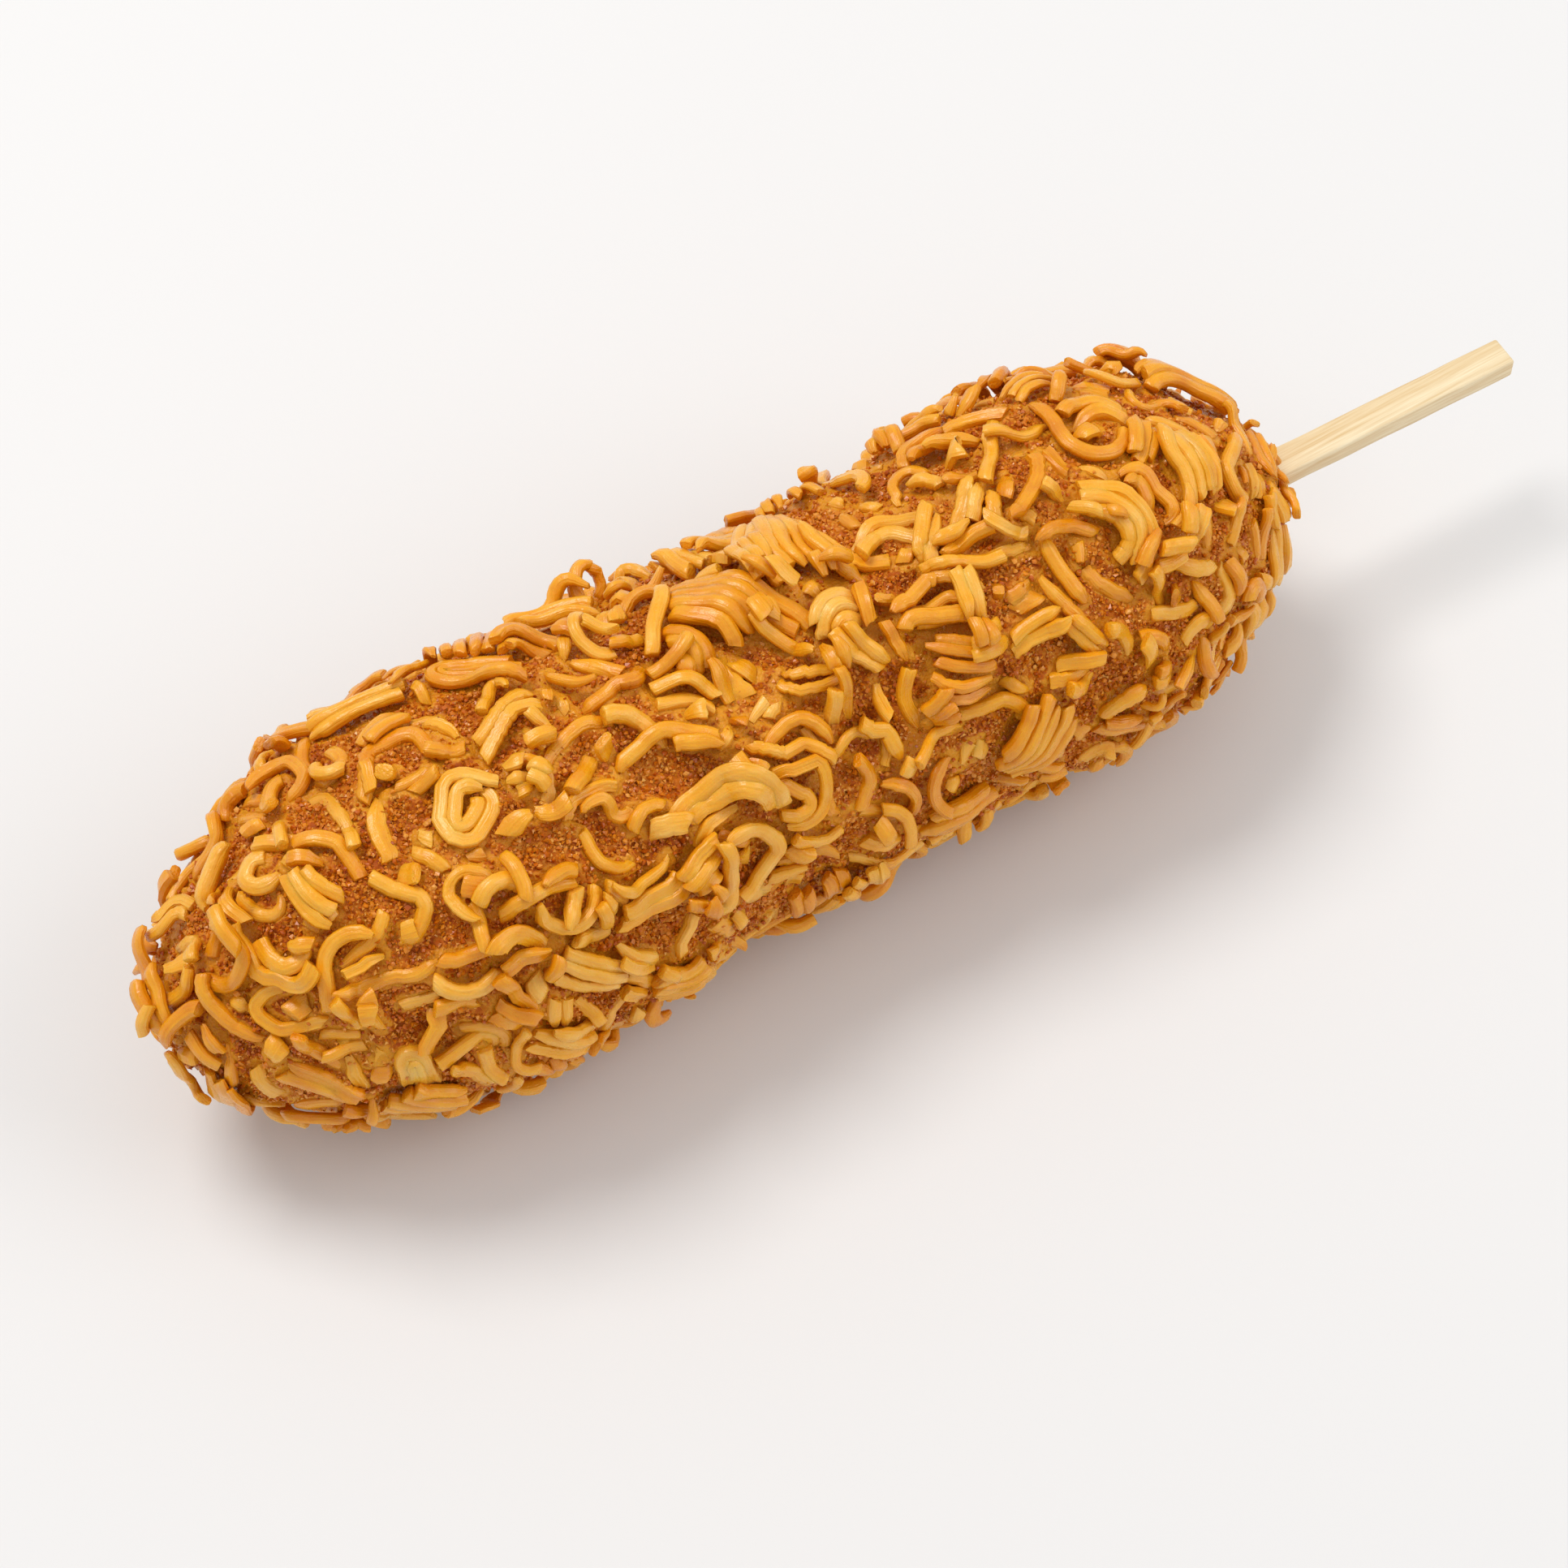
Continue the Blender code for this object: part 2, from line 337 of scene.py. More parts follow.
# The noodles.
strand = {
    "width": 1.95 * mm, "widthSpread": 0.24 * mm, "chipWidth": 1.35,  # a chip is wider by this
    "flatness": (0.6, 1.0), "broad": (1.2, 0.55),  # past this width a strand is this much flatter
    "squareness": 0.7, "step": 0.55 * mm, "sides": 10,
    "pitch": (1.72 * mm, 1.95 * mm), "pitchSpread": 0.1,  # few side by side, and many
    "uneven": (0.16, 0.12),  # how much the width wanders, and how fast
    "groove": (0.45, 0.36),  # how often a strand has a groove, and how deep
    "waver": (4, 7 * mm),  # degrees that a heading strays, and over what length
    "taper": (0.3, 3, 0.5),  # how often an end is drawn thin, over how many steps, to what share
    "gather": 0.3,  # how far a bundle's strands draw together at one end
    "crown": 0.35 * mm,  # how far a bundle's middle stands up
    "unequal": 7,  # a strand in a group is shorter by up to this part at each end
    "single": (-0.3 * mm, 0.8 * mm), "bundled": (0.2 * mm, 0.8 * mm),  # middle's height over the crust
    "arched": 0.3 * mm,  # more height for one that arches by over 0.4 mm
    "fade": 3, "calm": 3,  # steps over which a lift fades, and passes that smooth it
    "twist": 0.7, "slant": 0.6,  # largest twist and slant of a cut end, in radians
    "endBevel": 0.1 * mm, "endShrink": 0.88, "ragged": 0.14 * mm,
    "standing": 0.4,  # a strand whose way is this close to straight up keeps its turn
    "toneSpread": 0.12, "held": 8 * mm,
}
standingLoop = {"start": 0.08, "drift": 1.6, "foot": 0.4 * mm}  # share of its turn, widths, height

# Shown noodles: kind, mm along from the blunt end, degrees round from the top, heading in degrees
# from the stick's direction, length in mm, bend in degrees, strands side by side, arch in mm, and
# how far one end rises in mm, where it does.
shownNoodles = (
    # the blunt end
    ("arc", 19.5, -8, -130, 11, -270, 1, 0.6), ("arc", 17.5, 4, 100, 8, 230, 1, 0.4),
    ("bit", 15, -5, 88, 7, 0, 1, 0.3), ("arc", 14, -21, 118, 8, -50, 1, 0),
    ("bit", 24, -13, 33, 7, 10, 1, 0.2), ("arc", 23.5, 8, 80, 11, 20, 1, 0.2),
    ("bit", 25, 1, 25, 4.5, 20, 1, 0.8), ("arc", 28.3, 1.5, 10, 11, 95, 1, 1.0),
    ("arc", 30.5, -7.5, 57, 13, 45, 1, 0.2), ("bit", 34.5, 5, 115, 7, 0, 1, 0.1),
    ("hook", 32, 27, 62, 13, 120, 1, 0.3, 0.2), ("arc", 26.3, 32, 120, 9, 75, 1, 0.1),
    ("hook", 22, 34, -66, 14, 128, 1, 0.5, 1.0), ("arc", 26, 45, 35, 13, -62, 1, 0.4, 0.8),
    ("hook", 13.5, 45, -162, 13, 185, 1, 0.8, 0.4), ("arc", 16, 24, 128, 14, -180, 2, 0.8),
    ("curl", 11.7, 9, -58, 17, 300, 1, 0.6, 0.5), ("arc", 8.5, 33, 140, 12, -110, 1, 0.5),
    ("arc", 6, -6, 120, 10, -175, 1, 0.3), ("wave", 10, -42, -135, 8, 40, 2, 0.5, 2.0),
    ("bit", 6.5, -45, 165, 6, 0, 1, 1.0, 1.2), ("arc", 4.5, -15, 125, 8, 0, 2, 1.6),
    ("bit", 3.8, -5, 170, 5, 0, 1, 0.5, 1.0), ("arc", 5, 25, -58, 7, 85, 1, 0.6),
    ("bit", 6.5, 72, 100, 6, 0, 1, 0.3, 0.5), ("arc", 15.3, 64, 75, 6.5, -30, 1, 0.2),
    ("bit", 18, 65, 0, 6, 10, 2, 0.3), ("bit", 19, 78, 58, 6, 10, 1, 0.5),
    ("arc", 15.5, 83, 25, 11, 10, 2, 0.3), ("arc", 9.8, 86, 75, 8, -20, 1, 0.3),
    ("hook", 14.5, 105, 170, 6, -70, 1, 0.5, 1.0), ("bit", 18.5, 104, 25, 5, 0, 1, 0.3, 0.8),
    ("hook", 26, 112, 80, 9, -90, 1, 0.5, 1.0), ("hairpin", 26, 82, -85, 17, 180, 2, 0.8),
    ("hook", 32.5, 78, 5, 9, 100, 2, 0.3), ("bit", 28.5, 68, 100, 3, 0, 1, 0.3),
    ("arc", 36, 46.5, 42, 9, -55, 1, 0.4), ("arc", 33.6, 57, 75, 10, -105, 1, 0.8),
    ("chip", 31, 35, 0, 2, 0, 1, 0.1), ("bit", 19.5, 23, 28, 4, 0, 1, 0.1),
    ("bit", 14.5, 6, 95, 5, 0, 1, 0), ("arc", 21, 51, 72, 6, 15, 1, 0),
    ("bit", 23.5, 56, 75, 4.5, 0, 1, 0), ("chip", 24, 50, 20, 3, 0, 2, 0),
    ("bit", 27.5, 59, 8, 5, 5, 1, 0), ("arc", 31.5, 63, 10, 6, 0, 1, 0),
    ("bit", 36.5, 41, 90, 6, 0, 1, 0.1), ("arc", 37.4, 30, -102, 13, -235, 1, 0.8, 0.5),
    ("chip", 38.5, 31, 30, 3.5, 0, 1, 0.2), ("arc", 42, 34, -44, 9.5, 120, 1, 0.9),
    ("arc", 22.5, -52, -62, 10, 140, 2, 1.0, 0.5), ("bit", 23.5, -38, 45, 6, 10, 2, 0.4),
    ("bit", 14, -58, 170, 8, 0, 1, 0.5, 1.0), ("arc", 32, -38, 112, 7, 10, 1, 0.6),
    # the near lobe
    ("curl", 43.6, 10, 30, 19, 400, 2, 1.2, 0.6), ("arc", 45.5, 41, -16, 11, 35, 1, 0.9),
    ("arc", 49, 50, 95, 12.5, -165, 1, 1.0, 0.5), ("arc", 49.5, 39, -22, 5, 60, 1, 0),
    ("bit", 49, 48, 125, 5, 10, 1, 0), ("arc", 44.6, 33, 82, 6.5, 30, 1, 0.5),
    ("arc", 41.2, 50, -35, 9.5, 135, 1, 0.6), ("bit", 41, 57, -8, 6.5, 20, 1, 0.4),
    ("bundle", 48.5, 70.5, 39, 12, -6, 3, 0.6), ("bit", 43.6, 62, 130, 3.5, 0, 1, 0.9),
    ("chip", 41.5, 66, 60, 2.5, 0, 1, 0.4), ("arc", 51.2, 61, 42, 7, -50, 1, 0),
    ("hook", 55.8, 73.5, 50, 7, -20, 2, 0.5), ("bundle", 54.4, 53, 60, 5, 20, 3, 0.4),
    ("arc", 59.5, 60, 20, 8, -60, 2, 0.6), ("arc", 58.3, 51.5, 72, 8.5, -120, 1, 0.8),
    ("arc", 57, 41.5, 104, 8.5, -105, 1, 0.7), ("arc", 57.8, 25, -52, 9, 80, 1, 0.3),
    ("wave", 59.3, 31, 20, 9, -75, 1, 0.4), ("bit", 58.8, 19.5, 148, 5, 0, 1, 0.2),
    ("arc", 60.5, 8, -46, 11, 80, 1, 0.9), ("arc", 67, 15, 30, 8, 80, 1, 0),
    ("arc", 53, 12.5, -20, 13, 190, 1, 0.6), ("bundle", 50, 11, 5, 4, 0, 3, 0.4),
    ("bit", 53, 14, 50, 3, 0, 2, 0.5), ("arc", 52.1, 24.5, 45, 6.5, -75, 1, 0.4),
    ("chip", 47.2, 22.5, 10, 3, 0, 1, 0.4), ("hook", 39, -14, -54, 16.5, 185, 1, 0.7, 0.4),
    ("bit", 36, -9, 112, 4.5, 0, 1, 0.2), ("bundle", 39.8, -1.5, -5, 4.5, 0, 2, -0.2),
    ("arc", 46.5, -13.5, 12, 6, 70, 1, 0.2), ("arc", 45, -6, 35, 6, -30, 1, -0.2),
    ("hook", 53, -5, -26, 13, 55, 2, 0.9), ("bit", 60.8, -4, 119, 4, 0, 2, 0.5),
    ("hook", 53, -16, -60, 9, 170, 1, 0.9, 0.3), ("hairpin", 55.5, -27, 213, 26, -180, 2, 0.8),
    ("hook", 34.5, -55, -140, 10, 110, 1, 0.8, 1.5), ("bundle", 41, -42, 12, 14, 10, 3, 1.2, 0.5),
    ("arc", 47.5, -52, 10, 9, -40, 1, 1.0, 2.0), ("arc", 43, -55, -20, 8, 60, 1, 1.5, 0.5),
    ("arc", 47.5, -42, -34, 8, 10, 2, 0.8, 1.0), ("bundle", 57, -42, 100, 8, 15, 6, 1.6),
    ("arc", 63, -31, -45, 10, 130, 1, 0.6), ("arc", 62, -28, -40, 5, 100, 1, 0.3),
    ("bit", 66, -21, 125, 4, 0, 1, 0.2), ("chip", 67.5, -24, 40, 3, 0, 1, 0.2),
    ("hook", 68.7, -20, 132, 10, -140, 1, 0.6), ("arc", 73, -12.6, 10, 6, -10, 1, 0),
    ("arc", 67, -8, 55, 6, -10, 1, 0), ("bit", 70, -17, 40, 4, 0, 1, 0.1),
    ("wave", 68.4, 0, -5, 11, -18, 1, 1.3), ("bit", 56.5, 3, 60, 4, 0, 2, 0.3),
    ("bit", 55.5, 5, 10, 4, 0, 1, 0.2),
    # the near lobe's lower side
    ("bundle", 43.7, 78, 120, 6, -10, 2, 0.3), ("bundle", 44.3, 89.5, 36, 12.5, -10, 3, 0.7, 0.3),
    ("arc", 38.8, 64.5, 52, 8.5, 20, 1, 0.6), ("bit", 37.6, 70, 45, 5, 0, 2, 0.5),
    ("arc", 48, 82.5, 50, 6, 20, 1, 0.1), ("arc", 52.2, 96, 85, 5.5, 30, 1, 0.4),
    ("bit", 54.2, 91, 60, 7, 0, 2, 0.3), ("bundle", 60.8, 97, 15, 10, -30, 4, 0.8, 0.2),
    ("chip", 58.8, 85, 60, 3, 0, 1, 0.3), ("bit", 67.5, 90, 30, 6, 10, 2, 0.2),
    ("bundle", 41, 104, 60, 7, 20, 2, 0.6, 0.3), ("arc", 36.5, 108, 70, 8, 60, 1, 0.3, 0.8),
    # the waist
    ("bundle", 83, -5, 28, 11, 65, 8, 2.2), ("bundle", 82, 12, 88, 6, 0, 2, 0.6),
    ("bit", 78, -13, 118, 11, 12, 1, 1.2, 1.0), ("arc", 79.2, -31, -52, 10, 75, 1, 1.4),
    ("loop", 74.5, -50, 0, 18, 380, 1, 0), ("arc", 69, -44, -14, 12.5, 60, 3, 1.8),
    ("arc", 87, -48, 180, 5, 0, 1, 0, 2.5), ("arc", 82.5, -38, -20, 4, 30, 1, 0, 3),
    ("bundle", 88, -42, 60, 7, 20, 3, 1.0, 0.5), ("arc", 92.5, -42, -60, 9, 120, 2, 1.5),
    ("bit", 93.5, -27, 118, 7, 0, 1, 0.2), ("bundle", 97, -24, 106, 15, -15, 5, 1.5),
    ("bundle", 93, -18, 95, 7, 0, 3, 0.9), ("bundle", 104, -7, 75, 12.5, -25, 2, 0.8),
    ("bit", 100.5, -5, 100, 4, 0, 2, 0.4), ("bit", 101.5, -3, 12, 5, 0, 1, 0.3),
    ("arc", 109, -7, -52, 9, 110, 2, 0.5), ("arc", 97.5, 11, -54, 10, 105, 3, 1.6),
    ("bundle", 97.3, 25, 75, 9.5, -10, 2, 1.0), ("bundle", 90, 24, 55, 10.5, -50, 2, 1.1),
    ("bit", 93.5, 22, 75, 4.5, 30, 2, 1.4), ("bit", 93.3, 34, 70, 6.5, 10, 1, 0.5),
    ("bit", 91.5, 35, 105, 3.5, 0, 1, 0.2), ("wave", 91, 48, 44, 17, 60, 1, 0.7, 0.3),
    ("arc", 86.4, 37, -54, 10, 160, 1, 0.8), ("arc", 83.8, 40, 24, 11.5, 26, 1, 0.6, 0.8),
    ("hook", 86.5, 62, 95, 5, -70, 1, 0.2), ("curl", 82.7, 54, -78, 15, 285, 2, 1.0, 0.6),
    ("chip", 78.7, 40, 20, 3.5, 0, 1, 0.2), ("bit", 77.6, 44, 30, 3.5, 10, 1, 0.4),
    ("chip", 75.5, 37, 80, 3.5, 0, 1, 0), ("bit", 76.3, 27, 148, 5, 0, 1, 0.2),
    ("arc", 69.6, 21, -38, 13.5, 95, 1, 0.6, 0.3), ("arc", 72, 26, 0, 6, 40, 1, 0),
    ("arc", 76, 12, -2, 9, 72, 2, 0), ("arc", 76.4, 1, 6, 6.5, -38, 1, 0.6, 0.5),
    ("chip", 73.5, -26, 120, 3.5, 0, 2, 0), ("arc", 88.8, 10, 66, 8, -20, 1, 0),
    ("bit", 91.5, -8, 50, 4.5, 0, 1, 0.2), ("chip", 93.5, -4, 60, 3.5, 0, 1, 0.3),
    ("chip", 89.5, 1, 90, 3.5, 0, 2, 0.3), ("arc", 101.8, 12, 125, 5.5, -20, 1, 0.3),
    ("arc", 102.2, 27, 88, 6.5, 10, 1, 0.4), ("arc", 99.8, 45.5, 140, 8, -66, 1, 0.5),
    ("bit", 95.8, 51, 62, 6.5, 10, 1, 0.3), ("chip", 98, 62, 40, 3.5, 0, 1, 0.4),
    ("arc", 73, 42, -46, 18.5, 122, 2, 0.9), ("arc", 70.2, 48, -45, 7.5, 56, 1, 0.5),
    ("bit", 72.5, 58, 42, 5.5, 20, 1, 0.5), ("bundle", 66.2, 57.5, -20, 7.5, 30, 3, 1.5, 0.3),
    ("arc", 64, 42, -15, 5.5, 35, 1, 0.3), ("arc", 62.5, 36, -64, 7, 80, 1, 0.4),
    ("arc", 74.5, 64, -20, 15, 190, 1, 0.8), ("hook", 69.8, 68, 72, 15, 140, 1, 0.7),
    ("hook", 67, 66, 65, 5, 50, 1, 0.5), ("chip", 63.8, 66, 100, 3.5, 0, 2, 0.6),
    ("arc", 82.5, 72.5, 63, 9.5, -76, 1, 0.5), ("arc", 92.5, 77, 10, 6.5, 40, 1, 0.3),
    ("bit", 91.6, 86, 22, 7.5, -10, 1, 0.6), ("arc", 92.5, 98, 50, 14, -60, 1, 0.8, 0.8),
    ("bundle", 78.8, 76, 30, 4.5, 0, 2, 0.3), ("bit", 76, 85, 60, 4, 0, 2, 0.3),
    ("bundle", 82.5, 100, 85, 6, 0, 4, 0.7, 0.2), ("bundle", 88.5, 103, 70, 7, 0, 4, 0.7, 0.2),
    # the far lobe, lower part
    ("arc", 112.5, 2, 138, 9.5, -20, 2, 0.5), ("hook", 115.8, -22, -62, 10.5, 165, 1, 0.9, 0.4),
    ("arc", 117.2, -16, 30, 5.5, 25, 1, 0.1), ("bit", 111.8, -20, 50, 3, 0, 1, 0.2),
    ("bundle", 104, -48, 100, 5, 0, 5, 1.2, 0.6), ("bit", 122, -9, 2, 6, 10, 1, 0),
    ("bundle", 121, 2.5, -46, 8, 10, 3, 0.5), ("bit", 116.9, 10.5, 2, 6.5, 0, 1, 0),
    ("bit", 115.8, 6.5, 5, 6, 0, 1, 0.3), ("arc", 120, 19.5, 34, 8, -22, 1, 0.2),
    ("arc", 121.7, 14, 80, 6.5, -72, 1, 0), ("arc", 125.4, 12, 30, 4.5, 50, 1, 0),
    ("bundle", 112, 21, 12, 11.5, 20, 4, 0.8), ("arc", 106.8, 16.5, -147, 6, -68, 1, 0.6),
    ("hook", 107.7, 23.5, -150, 8.5, -75, 1, 0.3), ("bit", 113.3, 24.5, 104, 5.5, 10, 2, 1.5),
    ("bundle", 108.6, 41.5, 42, 9, -30, 5, 1.4), ("bundle", 112.8, 38, 6, 6.5, -12, 2, 1.6),
    ("bit", 112.3, 35, 100, 3.5, 0, 2, 1.4), ("bundle", 120.8, 32, -8, 4.5, 0, 2, 0.5),
    ("arc", 125.6, 44, 68, 13, 10, 1, 0.6), ("arc", 127, 32, 97, 8.5, -35, 1, 0.5),
    ("bit", 125.2, 50, 62, 8.5, 0, 2, 1.3), ("bundle", 120.4, 42.5, 164, 6.5, 0, 2, 1.0),
    ("bundle", 123, 58, 18, 7, 0, 2, 0.6), ("hook", 111.6, 60, -2, 12.5, 105, 1, 1.2),
    ("bundle", 115.5, 77, 135, 12.5, 20, 5, 1.8, 0.5), ("bundle", 103.3, 50, -18, 5, 10, 3, 0.4),
    ("arc", 102, 61, -10, 7.5, 35, 1, 0.2), ("bundle", 104.5, 94, 0, 13, 15, 3, 1.0, 0.5),
    ("chip", 106.5, 72, 100, 4, 0, 2, 0), ("arc", 123.5, 65, 60, 5.5, -80, 1, 0),
    ("arc", 127.5, 78, -70, 8, 110, 1, 0.8), ("bundle", 127.5, 92, 20, 8, 10, 2, 0.6, 0.3),
    ("bundle", 119.5, 100, 10, 6, 0, 2, 0.5, 0.5),
    # the far lobe, upper part and stick end
    ("arc", 131.5, -42, -5, 4, 0, 1, 0.3, 2.5), ("arc", 130, -44, 10, 2.5, 0, 1, 0.3, 2.0),
    ("bundle", 124.5, -48, 25, 7.5, 25, 2, 1.0, 0.5), ("bundle", 120.5, -45, 115, 5, 0, 3, 1.4, 0.6),
    ("arc", 128.4, -29, 20, 9, 20, 1, 0.3), ("arc", 121.8, -29, -45, 8, 85, 2, 1.0),
    ("arc", 124.5, -24, 0, 7, 35, 1, 0.8), ("bit", 127.2, -12, 116, 11, 15, 1, 1.2),
    ("arc", 132, -14, 20, 9, -14, 1, 0.7), ("bit", 134.4, 0, 80, 5.5, 0, 1, 0),
    ("hook", 138.4, -4, 88, 17, -150, 1, 0.6), ("arc", 142.3, -9.5, -30, 9, 75, 2, 1.0),
    ("bundle", 145.3, 6, 127, 7.5, 0, 3, 0.3), ("arc", 152.3, 5, 42, 8, 45, 1, 0.7),
    ("arc", 155.5, 2, 45, 6, 20, 1, 0.3), ("bit", 154, 16, 80, 4, 0, 1, 0),
    ("bundle", 149.2, 18.5, 108, 10, -15, 4, 1.2), ("hook", 156.8, 26, 150, 10.5, -105, 1, 0.6),
    ("bit", 159, 38, 120, 5, 0, 2, 0.2), ("arc", 158.5, -25, -35, 15, 80, 3, 2.0, 0.5),
    ("arc", 147.5, -45, 180, 2.5, 0, 1, 0.4, 2.0), ("arc", 150.5, -50, 0, 7, 20, 1, 1.8),
    ("bundle", 154, -48, 20, 8, 20, 3, 1.6), ("arc", 143, -52, -10, 9, 50, 2, 1.6),
    ("arc", 138, -31, -40, 9, 60, 3, 1.2), ("bit", 140.8, -24, 115, 5, 20, 1, 0.6),
    ("bundle", 146, -22, 20, 6, 0, 2, 0), ("arc", 127.6, 5, 105, 12.5, 72, 1, 0.6, 0.3),
    ("bit", 125.5, 0, 130, 4, 0, 1, 0.5), ("arc", 130.3, 11, 45, 4.5, 30, 1, 0.2),
    ("arc", 135.7, 28, -6, 17, 188, 3, 1.8, 0.5), ("bit", 135.3, 24, 40, 3, 0, 1, 0.8),
    ("bit", 132, 20, 40, 3, 0, 1, 0.6), ("arc", 128.5, 22.5, -22, 8, 75, 1, 0.8),
    ("arc", 141.5, 21, -30, 10, 185, 2, 1.0), ("bit", 137.3, 9, 60, 3.5, 0, 1, 0.3),
    ("arc", 144, 30, 90, 6.5, 80, 1, 0.5), ("bit", 137.3, 37, 150, 5, 0, 1, 0.1),
    ("bundle", 143.6, 36, 125, 4.5, 0, 2, 0.5), ("bit", 147.3, 43, 115, 5, 0, 1, 0),
    ("arc", 152.5, 46, 140, 7, -10, 1, 0.4), ("arc", 131.3, 41, 68, 9, -25, 1, 0.4),
    ("arc", 142.8, 50, 46, 7, -38, 1, 0.6), ("bit", 139.5, 42, 20, 4.5, 0, 2, 0.5),
    ("arc", 137.4, 48, 60, 6, 30, 1, 0.4), ("arc", 138.8, 58.5, 45, 6.5, -40, 1, 0.4),
    ("arc", 135.5, 62, 0, 6, 80, 1, 0.6), ("arc", 133, 64, 60, 5, 60, 1, 0.4),
    ("bundle", 134.5, 74, 10, 4, 0, 2, 0.4), ("arc", 141, 68, -60, 6, 120, 1, 0.5),
    ("arc", 143, 60, 85, 7, -10, 1, 0.5), ("arc", 147.3, 66, 60, 8, 110, 1, 0.7),
    ("arc", 144, 82, 90, 9, 30, 1, 0.4, 0.3), ("bundle", 158.5, 82, 120, 7, 0, 2, 0.8, 0.8),
    ("bundle", 160, 58, 90, 6, 0, 3, 0.4), ("bundle", 156.5, 62, 100, 6, 10, 2, 0.3),
    ("arc", 161, 5, 70, 8, 30, 1, 0.6), ("bit", 152, 92, 100, 6, 0, 2, 0.5, 0.4),
)

# The far side's larger pieces stand where the frame has them, in turn.
farNoodles = {
    "kinds": ("curl", "bundle", "hook", "wave", "bundle", "arc"), "count": 9, "along": (22, 146),
    "around": (-118, -86), "turn": 70, "length": 15, "bundled": 3, "arch": 0.5, "rise": 0.5,
    "bend": {"curl": 300, "bundle": 30, "hook": 150, "wave": 60, "arc": 90},
}

# Fillers: kind, share, shortest and longest in mm, largest bend, most strands side by side.
fillers = (
    ("bundle", 0.16, 6, 12, 50, 4), ("curl", 0.09, 11, 18, 330, 1), ("arc", 0.26, 6, 14, 170, 2),
    ("hook", 0.13, 7, 13, 170, 1), ("wave", 0.08, 8, 15, 70, 1), ("bit", 0.20, 3, 8, 20, 2),
    ("chip", 0.08, 1.8, 3.5, 0, 2),
)
smallFillers = (
    ("chip", 0.36, 1.6, 3.4, 0, 2), ("bit", 0.34, 2.5, 6, 20, 2),
    ("arc", 0.2, 4, 8, 150, 1), ("hook", 0.1, 5, 8, 150, 1),
)
filling = {
    "count": 560, "small": 520, "tries": 26, "seed": 5, "touching": 1.6 * mm, "highest": 3.2 * mm,
    "cell": 3 * mm, "crossing": (0.3, 0.05),  # share of a filler, and of a small one, that may cross
    "shownSide": (-66, 122), "shownShare": 0.4,  # fewer on the side with chosen noodles
    "length": (0.5, 1), "paired": 0.15, "ends": (0.03, 0.97), "evenly": 0.6, "margin": 3,
    "arches": (0, 0, 0.3, 0.7, 1.2), "rises": (0, 0, 0, 0.4, 1.0, 2.0),
}


def turnShare(kind, t):  # how much of its bend a noodle has turned by, at a share of its length
    if kind == "wave":
        return math.cos(math.tau * t)
    if kind == "hook":
        return max(t - 0.4, 0) / 0.6
    if kind == "hairpin":
        share = min(max((t - 0.36) / 0.28, 0), 1)
        return share * share * (3 - 2 * share)
    if kind == "curl":
        return 1 - (1 - t) ** 1.5
    return t


def flatPath(kind, length, bend, steps, seed):  # points and headings in a plane, centred
    place = Vector((0, 0))
    points = []
    degrees, reach = strand["waver"]
    for step in range(steps):
        t = (step + 0.5) / steps
        stray = 2 * degrees * noise.noise(Vector((seed, step * strand["step"] / reach, 0)))
        turned = math.radians(bend * turnShare(kind, t) + stray)
        ahead = Vector((math.cos(turned), math.sin(turned)))
        points.append((place + ahead * (length / steps / 2), ahead))
        place = place + ahead * (length / steps)
    middle = sum((point for point, ahead in points), Vector((0, 0))) / steps
    return [(point - middle, ahead) for point, ahead in points]


class Pile:
    # where strands already lie: the foot of each point on the crust and the height of its middle
    def __init__(self):
        self.cells = {}

    def key(self, foot):
        return tuple(int(math.floor(value / filling["cell"])) for value in foot)

    def add(self, path):
        for foot, out, height in path:
            self.cells.setdefault(self.key(foot), []).append((foot, height))

    def needed(self, foot, thick):  # height at which a new strand clears what is under it
        i, j, k = self.key(foot)
        height = -1.0
        for a in (i - 1, i, i + 1):
            for b in (j - 1, j, j + 1):
                for c in (k - 1, k, k + 1):
                    for other, top in self.cells.get((a, b, c), ()):
                        apart = (other - foot).length_squared
                        if apart < thick * thick:
                            height = max(height, top + math.sqrt(thick * thick - apart))
        return height


def loopPath(centre, facing, forward, side, length, bend, steps):
    # A ring that stands up on the crust and drifts a little to its side.
    radius = length / math.radians(bend)
    out = wayOut(centre)
    path = []
    for step in range(steps):
        t = step / (steps - 1)
        turned = math.radians(bend) * (t - standingLoop["start"])
        drift = (t - 0.5) * strand["width"] * standingLoop["drift"]
        point = facing @ Vector((radius * math.sin(turned), drift))
        held = centre + forward * point.x + side * point.y
        foot = bodyTree.find_nearest(held + wayOut(held) * strand["held"])[0]
        path.append((foot, out, standingLoop["foot"] + radius * (1 - math.cos(turned))))
    return path


def strandPath(flat, span, offset, gather, placed, heights):
    # One strand of a noodle laid on the crust: feet, ways out and heights.
    centre, forward, side, facing = placed
    low, arch, rise = heights
    path = []
    for step in range(*span):
        point, ahead = flat[step]
        t = step / (len(flat) - 1)
        drawn = offset * (1 + gather * (2 * t - 1))
        point = facing @ (point + Vector((-ahead.y, ahead.x)) * drawn)
        held = centre + forward * point.x + side * point.y
        held += wayOut(held) * strand["held"]
        foot = bodyTree.find_nearest(held)[0]
        height = low + arch * mm * math.sin(math.pi * t) + rise * mm * t * t
        path.append((foot, (held - foot).normalized(), height))
    return path


